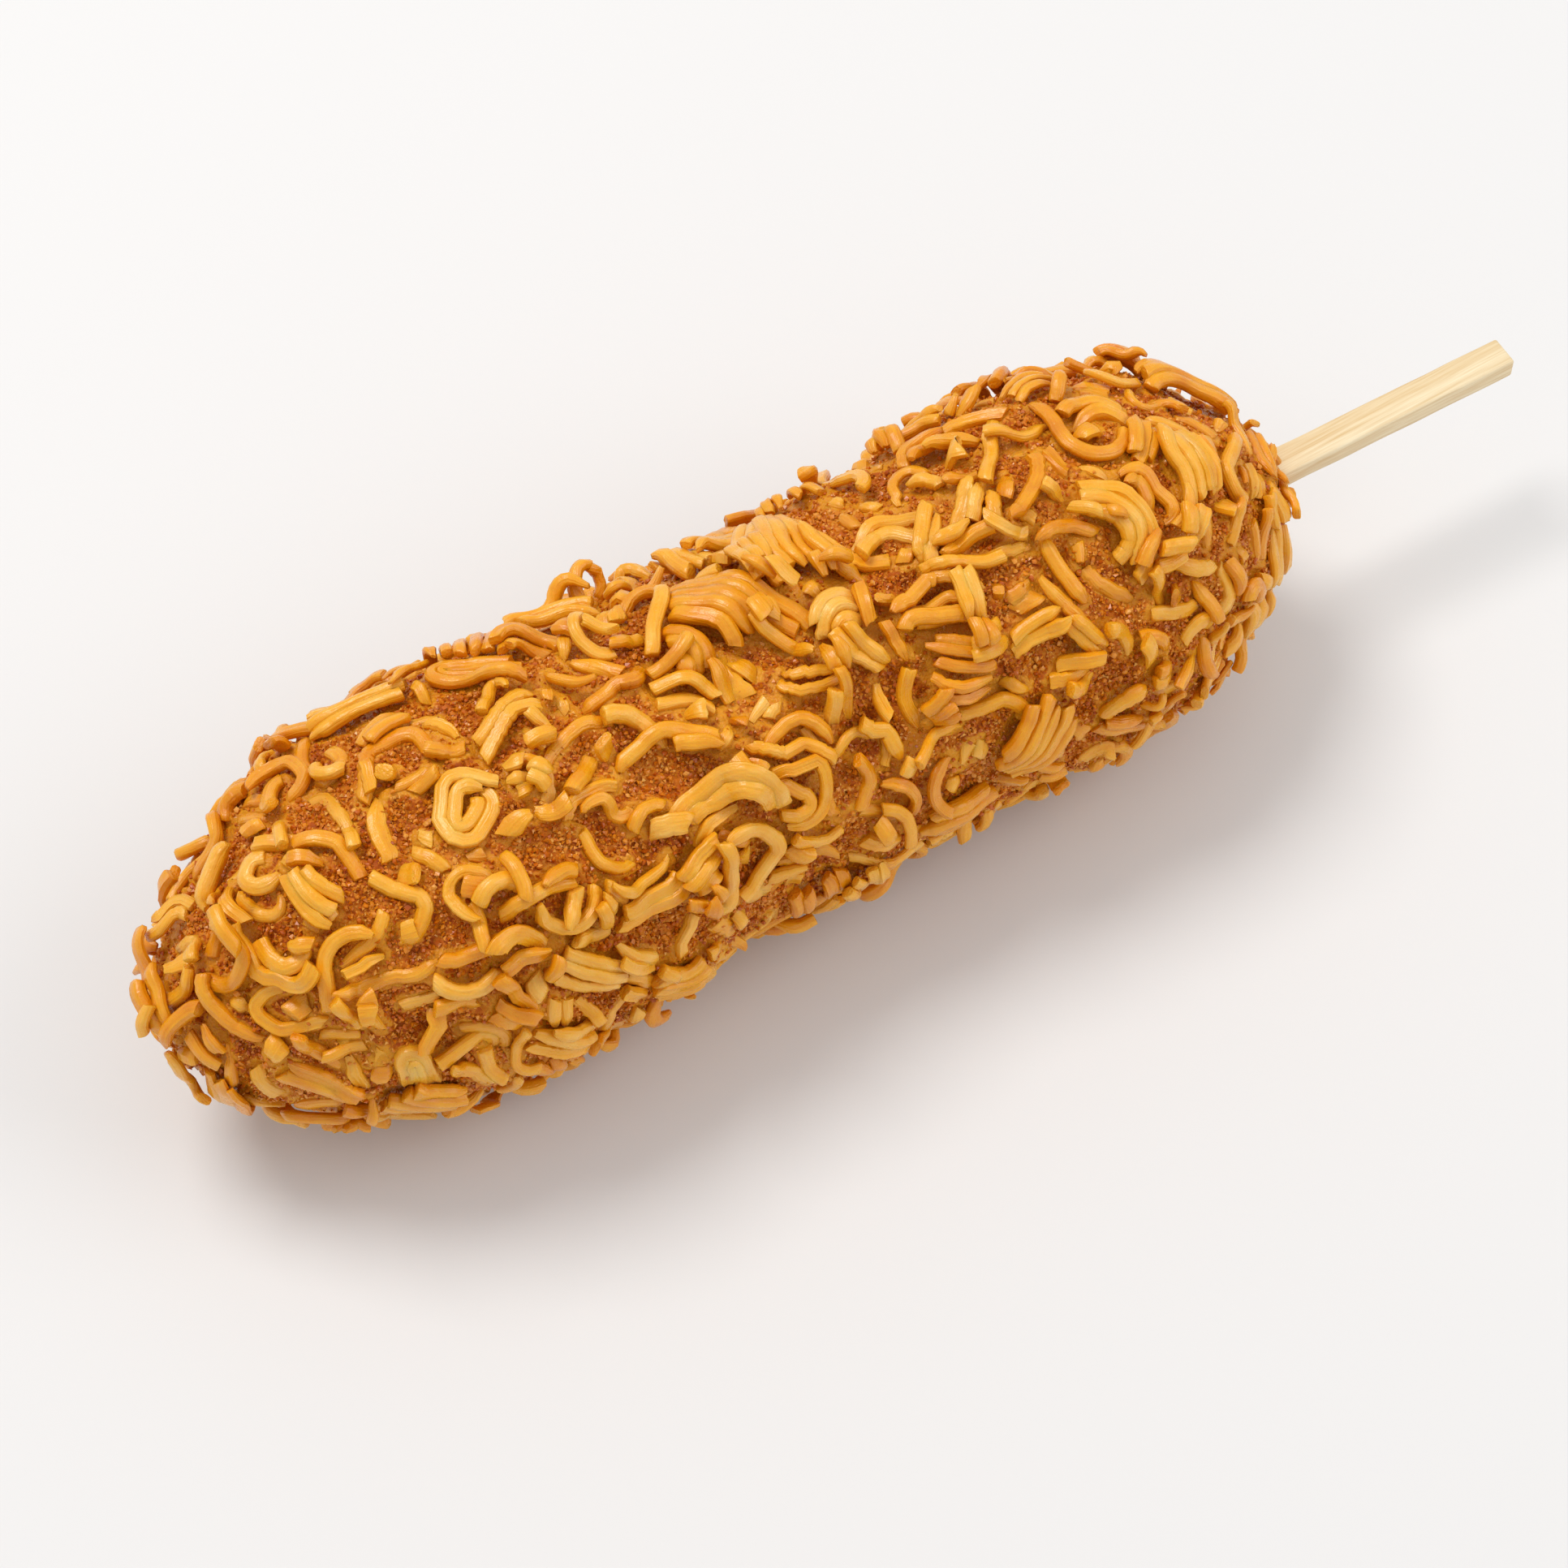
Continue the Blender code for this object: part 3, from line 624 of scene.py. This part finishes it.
def layPath(noodle, rng):
    # A path for each strand of a noodle.
    kind, along, around, heading, length, bend, strands, arch = noodle[:8]
    rise = noodle[8] if len(noodle) > 8 else 0
    centre = placeOn(along * mm, math.radians(around))
    up = wayOut(centre)
    side = Vector((0, -math.cos(math.radians(around)), -math.sin(math.radians(around))))
    forward = up.cross(side).normalized()
    facing = Matrix.Rotation(math.radians(heading), 2)
    steps = max(4, round(length * mm / strand["step"]))
    if kind == "loop":
        return [loopPath(centre, facing, forward, side, length * mm, bend, steps)]
    flat = flatPath(kind, length * mm, bend, steps, rng.uniform(0, 99))
    pitch = strand["pitch"][strands > 5]
    base = rng.uniform(*strand["bundled" if strands > 2 else "single"]) + strand["arched"] * (arch > 0.4)
    gather = rng.uniform(-1, 1) * strand["gather"] if kind == "bundle" else 0
    shorter = max(steps // strand["unequal"], 1)
    placed = (centre, forward, side, facing)
    paths = []
    for number in range(strands):
        share = 0 if strands == 1 else 2 * number / (strands - 1) - 1
        offset = (number - (strands - 1) / 2) * pitch * (1 + strand["pitchSpread"] * rng.uniform(-1, 1))
        crown = strand["crown"] * math.sqrt(max(strands - 2, 0)) * (1 - share * share)
        first = rng.randint(0, shorter) if strands > 1 else 0
        last = steps - (rng.randint(0, shorter) if strands > 1 else 0)
        heights = (base + crown, arch, rise)
        paths.append(strandPath(flat, (first, last), offset, gather, placed, heights))
    return paths


def easedLifts(lifts):  # each lift fades to both sides, and the whole is then smoothed
    reach = strand["fade"]
    eased = []
    for step in range(len(lifts)):
        near = [
            lifts[other] * (1 - (abs(other - step) / (reach + 1)) ** 2)
            for other in range(max(step - reach, 0), min(step + reach + 1, len(lifts)))
        ]
        eased.append(max(near))
    end = len(lifts) - 1
    for turn in range(strand["calm"]):
        eased = [
            (eased[max(step - 1, 0)] + 2 * eased[step] + eased[min(step + 1, end)]) / 4
            for step in range(len(eased))
        ]
    return eased


def raised(paths, pile, crossing):
    # The same paths lifted over what they cross, or None where too much of them would cross.
    result = []
    hit = count = 0
    for path in paths:
        heights = [height for foot, out, height in path]
        needs = [pile.needed(foot, filling["touching"]) for foot, out, height in path]
        lifts = [max(need - height, 0) for need, height in zip(needs, heights)]
        hit += sum(need > height for need, height in zip(needs, heights))
        count += len(path)
        path = [(foot, out, height + lift) for (foot, out, height), lift in zip(path, easedLifts(lifts))]
        if crossing < 1 and max(height for foot, out, height in path) > filling["highest"]:
            return None
        result.append(path)
    return result if hit <= crossing * count else None


def strandSection(groove):  # a rounded square whose first corner is its top
    section = []
    for side in range(strand["sides"]):
        turn = math.tau * side / strand["sides"]
        ways = (math.sin(turn), math.cos(turn))
        section.append([math.copysign(abs(way) ** strand["squareness"], way) / 2 for way in ways])
    section[0][1] -= groove / 2
    return section


def strandPlaces(path, thick):  # places along a strand's middle, and the way ahead at each
    places = []
    for foot, out, height in path:
        place = foot + out * height
        place.z = max(place.z, thick * 0.52)
        places.append(place)
    end = len(places) - 1
    aheads = [
        (places[min(step + 1, end)] - places[max(step - 1, 0)]).normalized() for step in range(end + 1)
    ]
    return places, aheads


def strandFrames(path, places, aheads, width, flat, rng):
    # A frame for the section at each station: the steps, and a smaller one just past each end.
    seed = rng.uniform(0, 50)
    twist = rng.uniform(-strand["twist"], strand["twist"])
    often, steps, share = strand["taper"]
    thin = [rng.random() < often for end in range(2)]
    slants = [rng.uniform(-strand["slant"], strand["slant"]) for end in range(2)]
    uneven, pace = strand["uneven"]
    bevel, shrunk, end = strand["endBevel"], strand["endShrink"], len(places) - 1
    stations = [(0, -bevel, shrunk), *((step, 0, 1) for step in range(end + 1)), (end, bevel, shrunk)]
    frames, across = [], None
    for step, shift, shrink in stations:
        ahead, out = aheads[step], path[step][1]
        last, across = across, out.cross(ahead)
        if last and across.length < strand["standing"]:
            across = last - ahead * last.dot(ahead)
        elif last and across.dot(last) < 0:
            across.negate()
        across.normalize()
        size = width * shrink * (1 + uneven * noise.noise(Vector((seed + step * pace, 0, 0))))
        for drawn, away in zip(thin, (step, end - step)):
            if drawn and away < steps:
                size *= share + (1 - share) * away / steps
        turn = Matrix.Rotation(twist * step / len(places), 3, "Z")
        turned = Matrix((across, ahead.cross(across), ahead)).transposed() @ turn
        if step in (0, end):
            turned = turned @ Matrix.Rotation(slants[0 if step == 0 else 1], 3, "Y")
        scaled = (turned @ Matrix.Diagonal((size, size * flat, size))).to_4x4()
        frames.append(Matrix.Translation(places[step] + ahead * shift) @ scaled)
    return [step for step, shift, shrink in stations], frames


def strandDetails(verts, path, places, steps, frames, thick):
    # For each point: 1 on the strand's top and 0 underneath, which the finish uses to paint light on the
    # top and shade underneath, its place in the section and its mm along.
    details = {"crown": [], "lane": [], "lean": [], "run": []}
    unmade = [frame.inverted() for frame in frames]
    for number, vert in enumerate(verts):
        station = number // strand["sides"]
        step = steps[station]
        inside = unmade[station] @ vert
        details["crown"].append(0.5 + (vert - places[step]).dot(path[step][1]) / thick)
        details["lane"].append(inside.x)
        details["lean"].append(inside.y)
        details["run"].append(step * strand["step"] / mm)
    return details


def sweepStrand(path, rng, width):
    # A closed strand: the section as a face, extruded from frame to frame along the path.
    limit, flatter = strand["broad"]
    flat = rng.uniform(*strand["flatness"]) * (flatter if width > limit * strand["width"] else 1)
    often, depth = strand["groove"]
    section = strandSection(depth * rng.random() if rng.random() < often else 0)
    places, aheads = strandPlaces(path, width * flat)
    steps, frames = strandFrames(path, places, aheads, width, flat, rng)
    bm = bmesh.new()
    face = bm.faces.new([bm.verts.new(frames[0] @ Vector((x, y, 0))) for x, y in section])
    for number, (last, new) in enumerate(zip(frames, frames[1:])):
        grown = bmesh.ops.extrude_face_region(bm, geom=[face])["geom"]
        if number:
            bmesh.ops.delete(bm, geom=[face], context="FACES_ONLY")
        face = next(item for item in grown if isinstance(item, bmesh.types.BMFace))
        bmesh.ops.transform(bm, matrix=new @ last.inverted(), verts=face.verts)
    bmesh.ops.recalc_face_normals(bm, faces=bm.faces)
    bm.verts.index_update()
    for vert in bm.verts:
        vert.co.z = max(vert.co.z, 0)
    verts = [vert.co.copy() for vert in bm.verts]
    faces = sorted([[vert.index for vert in face.verts] for face in bm.faces], key=sorted)
    bm.free()
    details = strandDetails(verts, path, places, steps, frames, width * flat)
    sides = strand["sides"]
    for number in (*range(sides), *range(len(verts) - sides, len(verts))):
        verts[number] += aheads[0 if number < sides else -1] * rng.uniform(-1, 1) * strand["ragged"]
    return verts, faces, details


class Heap:
    # Many small shapes gathered into one mesh, with values for their points.
    def __init__(self):
        self.verts, self.faces, self.values, self.count = [], [], {}, 0

    def add(self, verts, faces, **values):
        start = len(self.verts)
        self.verts += verts
        self.faces += [[start + index for index in face] for face in faces]
        for label, value in values.items():
            if not isinstance(value, list):
                value = [value] * len(verts)
            self.values.setdefault(label, []).extend(value)
        self.count += 1

    def mesh(self, name, softened=True):
        mesh = bpy.data.meshes.new(name)
        mesh.from_pydata(self.verts, [], self.faces)
        for label, values in self.values.items():
            layer = mesh.attributes.new(label, "FLOAT", "POINT")
            layer.data.foreach_set("value", values)
        if softened:
            mesh.shade_smooth()
            mesh.set_sharp_from_angle(angle=math.radians(50))
        return mesh


def heightOver(place):  # in mm over the body's surface
    foot, normal, index, distance = bodyTree.find_nearest(place)
    return math.copysign(distance, (place - foot).dot(normal)) / mm


def farRows():
    far = farNoodles
    first, last = far["along"]
    for number in range(far["count"]):
        kind = far["kinds"][number % len(far["kinds"])]
        along = first + number / (far["count"] - 1) * (last - first)
        around = far["around"][number % 2]
        heading = number * far["turn"]
        strands = far["bundled"] if kind == "bundle" else 1
        yield (
            kind, along, around, heading, far["length"], far["bend"][kind], strands, far["arch"],
            far["rise"],
        )


def fillerRow(rng, choices, size, shownShare):
    # A random noodle. The size falls from 1 to 0 as the gaps get smaller.
    pick = rng.random()
    for kind, share, shortest, longest, bend, most in choices:
        pick -= share
        if pick <= 0:
            break
    length = shortest + (longest - shortest) * size * rng.uniform(*filling["length"])
    if kind == "bundle":
        strands = rng.randint(2, most)
    else:
        strands = most if rng.random() < filling["paired"] else 1
    start, end = body["start"] / mm, body["end"] / mm
    along = start + (end - start) * (0.5 - 0.5 * math.cos(math.pi * rng.uniform(*filling["ends"])))
    if rng.random() < filling["evenly"]:
        along = rng.uniform(start + filling["margin"], end - filling["margin"])
    around = rng.uniform(-180, 180)
    if filling["shownSide"][0] < around < filling["shownSide"][1] and rng.random() > shownShare:
        around += 180
    turned = bend * rng.uniform(*filling["length"]) * rng.choice((-1, 1))
    arch = rng.choice(filling["arches"])
    rise = rng.choice(filling["rises"])
    return kind, along, around, rng.uniform(0, 360), length, turned, strands, arch, rise


def layNoodles():
    rng = random.Random(filling["seed"])
    pile = Pile()
    heaps = {}
    spine = []

    def settle(row, crossing):
        paths = raised(layPath(row, rng), pile, crossing)
        if paths is None:
            return False
        width = rng.gauss(strand["width"], strand["widthSpread"])
        if row[0] == "chip":
            width *= strand["chipWidth"]
        tone = rng.random()
        for path in paths:
            if len(path) < 3:
                continue
            pile.add(path)
            spine.extend(path)
            verts, faces, details = sweepStrand(path, rng, width)
            heights = [heightOver(vert) for vert in verts]
            own = tone + rng.uniform(-strand["toneSpread"], strand["toneSpread"])
            heaps.setdefault(row[0], Heap()).add(verts, faces, tone=own, height=heights, **details)
        return True

    for row in (*shownNoodles, *farRows()):
        settle(row, 1)
    print("chosen noodles laid:", len(shownNoodles) + farNoodles["count"])
    most, least = filling["crossing"]
    passes = (
        (fillers, filling["count"], filling["shownShare"], most),
        (smallFillers, filling["small"], 1, least),
    )
    for choices, count, shownShare, crossing in passes:
        laid = 0
        for number in range(count):
            size = 1 - number / count
            for attempt in range(filling["tries"]):
                if settle(fillerRow(rng, choices, size, shownShare), crossing):
                    laid += 1
                    break
        print("fillers laid:", laid)
    return heaps, spine


heaps, spine = layNoodles()
noodleTree = kdtree.KDTree(len(spine))
for number, (foot, out, height) in enumerate(spine):
    noodleTree.insert(foot, number)
noodleTree.balance()


# The crust: batter that climbs round the noodles, and rough between them.
crust = {
    "climb": (-0.2 * mm, 0.75 * mm), "climbReach": 0.8 * mm,  # batter's height by a noodle, and reach
    "extra": 0.15 * mm,  # a little more beside it
    "letGo": (1.0 * mm, 1.5 * mm),  # heights of a noodle over which the batter lets it go
    "batterReach": 0.6 * mm, "edge": (0.15, 0.6),  # the smooth ring of batter, and its soft edge
    "patch": 5 * mm, "patchy": 0.9, "patchyClimb": 0.4,
    "coarse": (2.6 * mm, 0.5 * mm), "fine": (1.1 * mm, 0.45 * mm), "smoothing": 0.75,
    "floor": 0.3 * mm,
}


def crustPoint(vert, half):  # how smooth the crust is there, and its new place
    place = vert.co
    near, index, apart = noodleTree.find(place)
    gap = max(apart - half, 0)
    patchy = noise.noise(place / crust["patch"])
    height = spine[index][2]
    lowest, highest = crust["climb"]
    climb = min(max(height + crust["extra"] * (gap > 0), lowest), highest)
    hold, letGo = crust["letGo"]
    climb *= min(max((letGo - height) / (letGo - hold), 0), 1)
    inner, soft = crust["edge"]
    smooth = 1 - min(max((gap / crust["batterReach"] - inner - crust["patchy"] * patchy) / soft, 0), 1)
    climb *= math.exp(-((gap / crust["climbReach"]) ** 2)) * (1 + crust["patchyClimb"] * patchy)
    size, depth = crust["coarse"]
    rough = depth * noise.noise(place / size)
    size, depth = crust["fine"]
    rough += depth * noise.noise(place / size) * (1 - crust["smoothing"] * smooth)
    moved = place + vert.normal * (climb + rough)
    moved.z = max(moved.z, crust["floor"])
    return smooth, moved


def finishCrust():
    bodyMesh.normal_update()
    points = [crustPoint(vert, strand["width"] / 2) for vert in bodyMesh.verts]
    smoothness = [smooth for smooth, moved in points]
    for vert, (smooth, moved) in zip(bodyMesh.verts, points):
        vert.co = moved
    mesh = bpy.data.meshes.new("crust")
    bodyMesh.to_mesh(mesh)
    layer = mesh.attributes.new("smoothness", "FLOAT", "POINT")
    layer.data.foreach_set("value", smoothness)
    mesh.shade_smooth()
    return mesh, smoothness


crustMesh, smoothness = finishCrust()
print("crust made")

# Loose crumbs.
crumbs = {
    "shapes": 10, "seed": 11, "jitter": (0.65, 1.25), "squash": 0.8, "sink": 0.35,
    "stray": 0.14 * mm, "least": 0.12, "clear": 1.6,  # sizes that a crumb's middle stays over the floor
    "kinds": (  # name, how many, radius, corners round, tones
        ("crumbsCoarse", 9500, (0.22 * mm, 0.48 * mm), 0, (0.15, 0.85)),
        ("crumbsDark", 31000, (0.17 * mm, 0.37 * mm), 4, (0.15, 0.7)),
        ("crumbsPale", 36000, (0.14 * mm, 0.29 * mm), 3, (0.5, 1.0)),
    ),
}


def crumbShapes(rng, corners):  # small pyramids, or rounder lumps
    shapes = []
    for number in range(crumbs["shapes"]):
        bm = bmesh.new()
        if corners:
            bmesh.ops.create_cone(bm, cap_ends=True, segments=corners, radius1=1.2, radius2=0, depth=1.5)
        else:
            bmesh.ops.create_icosphere(bm, subdivisions=1, radius=1)
        for vert in bm.verts:
            vert.co *= rng.uniform(*crumbs["jitter"])
            vert.co.z *= crumbs["squash"]
        bm.verts.index_update()
        points = np.array([vert.co[:] for vert in bm.verts])
        sides = [[vert.index for vert in face.verts] for face in bm.faces]
        shapes.append((points, sides))
        bm.free()
    return shapes


def anyWay(rng):
    return Vector((rng.gauss(0, 1), rng.gauss(0, 1), rng.gauss(0, 1)))


def scatterCrumbs(count, sizes, corners, tones, rng, faces, weights):
    shapes = crumbShapes(rng, corners)
    heap = Heap()
    for index in rng.choices(range(len(faces)), weights, k=count):
        centre, normal = faces[index]
        points, sides = shapes[rng.randrange(len(shapes))]
        size = rng.uniform(*sizes)
        turn = Matrix.Rotation(rng.uniform(0, math.tau), 3, anyWay(rng))
        place = centre + normal * size * crumbs["sink"] + anyWay(rng) * crumbs["stray"]
        place.z = max(place.z, crumbs["clear"] * size)
        verts = points @ np.array(turn.transposed()) * size + np.array(place)
        heap.add([Vector(point) for point in verts], sides, tone=rng.uniform(*tones))
    return heap


def layCrumbs():
    rng = random.Random(crumbs["seed"])
    faces, weights = [], []
    for face in bodyMesh.faces:
        rough = 1 - sum(smoothness[vert.index] for vert in face.verts) / len(face.verts)
        faces.append((face.calc_center_median(), face.normal.copy()))
        weights.append(face.calc_area() * max(rough, crumbs["least"]))
    return {
        name: scatterCrumbs(count, sizes, corners, tones, rng, faces, weights)
        for name, count, sizes, corners, tones in crumbs["kinds"]
    }


bodyMesh.verts.index_update()
bodyMesh.normal_update()
crumbHeaps = layCrumbs()
bodyMesh.free()  # its mesh is kept as the crust's
print("crumbs laid")


# Finishes.
def noodleFinish():
    g = Graph("friedNoodle", Subsurface_Weight=0.25, Subsurface_Radius=(1.0, 0.5, 0.15),
              Subsurface_Scale=0.8 * mm, Specular_IOR_Level=0.46, Coat_Weight=0.12, Coat_Roughness=0.22)
    tone, height, crown = g.own("tone"), g.own("height"), g.own("crown")
    patch = g.spots(260, 3)
    fine = g.spots(1500, 3, 0.6)
    lengthwise = {0: g.own("lane") * 2.2, 1: g.own("lean") * 2.2, 2: g.own("run") * 0.12 + tone * 40}
    streak = g.spots(2, 2, 0.5, g.add("CombineXYZ", {}, lengthwise))
    # crown paints each strand's top lighter and its underside darker: painted light and painted shade.
    shade = tone * 0.24 + patch * 0.5 + crown * 0.18 + streak * 0.3 - 0.12
    colour = g.ramp(
        shade, (0.15, (0.6, 0.155, 0.0)), (0.4, (0.78, 0.275, 0.001)), (0.6, (0.87, 0.385, 0.01)),
        (0.88, (0.93, 0.53, 0.1)),
    )
    sunk = g.stretched(height + patch * 0.8, 1.5, 0.35)
    colour = g.mixed(sunk * 0.6, colour, (0.7, 0.32, 0.03, 1))
    roughness = 0.2 + sunk * 0.1 + fine * 0.18
    normal = g.bumped(fine * 0.7 + g.spots(600, 2) * 0.6 + streak * 1.6, 0.55, 0.25 * mm)
    return g.finish(colour, roughness, normal)


def crustFinish():
    g = Graph("friedCrust", Subsurface_Weight=0.2, Subsurface_Radius=(1.0, 0.35, 0.08),
              Subsurface_Scale=1.0 * mm, Specular_IOR_Level=0.25)
    smooth = g.own("smoothness")
    patch = g.spots(170, 3)
    grain = g.cells(2100)
    grainTone = g.add("SeparateColor", {}, {0: g.cells(2100, "Color")})
    specks = g.spots(1300, 3, 0.65)
    crumb = g.ramp(
        patch * 0.5 + specks * 0.3 + grainTone * 0.22, (0.3, (0.32, 0.042, 0.0)),
        (0.45, (0.52, 0.11, 0.001)), (0.6, (0.68, 0.21, 0.005)), (0.78, (0.84, 0.42, 0.07)),
    )
    batter = g.mixed(g.spots(500, 3), (0.62, 0.2, 0.002, 1), (0.84, 0.38, 0.02, 1))
    share = g.stretched(smooth + specks * 0.9, 0.8, 1.3)
    colour = g.mixed(share, crumb, batter)
    roughness = 0.6 - share * 0.25
    normal = g.bumped((1 - grain) * 0.6 + specks * 0.9, 0.8, 0.3 * mm)
    return g.finish(colour, roughness, normal)


def crumbFinish():
    g = Graph("friedCrumb", Subsurface_Weight=0.15, Subsurface_Radius=(1.0, 0.4, 0.12),
              Subsurface_Scale=0.6 * mm, Specular_IOR_Level=0.45)
    tone = g.own("tone")
    colour = g.ramp(
        tone * 0.6 + g.spots(170, 3) * 0.4, (0.1, (0.3, 0.036, 0.0)), (0.35, (0.54, 0.115, 0.001)),
        (0.6, (0.74, 0.25, 0.008)), (0.9, (0.93, 0.52, 0.12)),
    )
    return g.finish(colour, 0.3)


def bambooFinish():
    g = Graph("bamboo")
    turn = (0, 0, math.radians(stick["turn"]))
    grain = g.add("Mapping", {}, {"Vector": g.place, "Rotation": turn, "Scale": stick["grain"]})
    lines = g.spots(2600, 3, 0.6, grain)
    broad = g.spots(700, 2, 0.5, grain)
    share = g.stretched(lines * 0.6 + broad * 0.4, 0.35, 0.68)
    colour = g.mixed(share, (0.72, 0.50, 0.24, 1), (0.93, 0.80, 0.55, 1))
    normal = g.bumped(lines, 0.4, 0.15 * mm)
    return g.finish(colour, 0.5 + lines * 0.15, normal)


# The stick: a split bar with softened edges, a little wavy.
stick = {
    "cuts": 60, "waver": 0.08 * mm, "waverSize": 6 * mm,
    "turn": 1.8, "grain": (0.03, 1, 1),  # degrees that turn the grain along it, and its stretch
}


def makeStick():
    node = frame["nodes"]["stick"]
    bm = bmesh.new()
    bm.from_mesh(node.data)
    bmesh.ops.remove_doubles(bm, verts=bm.verts, dist=0.01 * mm)
    bmesh.ops.dissolve_limit(bm, angle_limit=0.01, verts=bm.verts, edges=bm.edges)
    long = [edge for edge in bm.edges if abs((edge.verts[0].co - edge.verts[1].co).x) > 20 * mm]
    bmesh.ops.subdivide_edges(bm, edges=long, cuts=stick["cuts"], use_grid_fill=True)
    bm.normal_update()
    for vert in bm.verts:
        vert.co += vert.normal * stick["waver"] * noise.noise(vert.co / stick["waverSize"])
    bmesh.ops.recalc_face_normals(bm, faces=bm.faces)
    mesh = bpy.data.meshes.new("stickBar")
    bm.to_mesh(mesh)
    bm.free()
    mesh.shade_smooth()
    mesh.set_sharp_from_angle(angle=math.radians(40))
    return mesh


noodleMaterial, crumbMaterial = noodleFinish(), crumbFinish()
crustPiece = newPiece("crustCoat", crustMesh, [crustFinish()])
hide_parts("crust")
stickPiece = newPiece("stickBar", makeStick(), [bambooFinish()])
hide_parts("stick")
for name, heap in crumbHeaps.items():
    newPiece(name, heap.mesh(name, False), [crumbMaterial])
    print(name, heap.count, "crumbs", len(heap.faces), "faces")
noodleNodes = [name for name in frame["nodes"] if name.startswith("noodle")]
for kind, heap in sorted(heaps.items()):
    name = "noodle" + kind.capitalize() + "s"
    piece = newPiece(name, heap.mesh(name), [noodleMaterial])
    nodes = [node for node in noodleNodes if node.endswith("_" + kind)]
    if nodes:
        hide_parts(*nodes)
    print(name, heap.count, "strands", len(heap.faces), "faces")
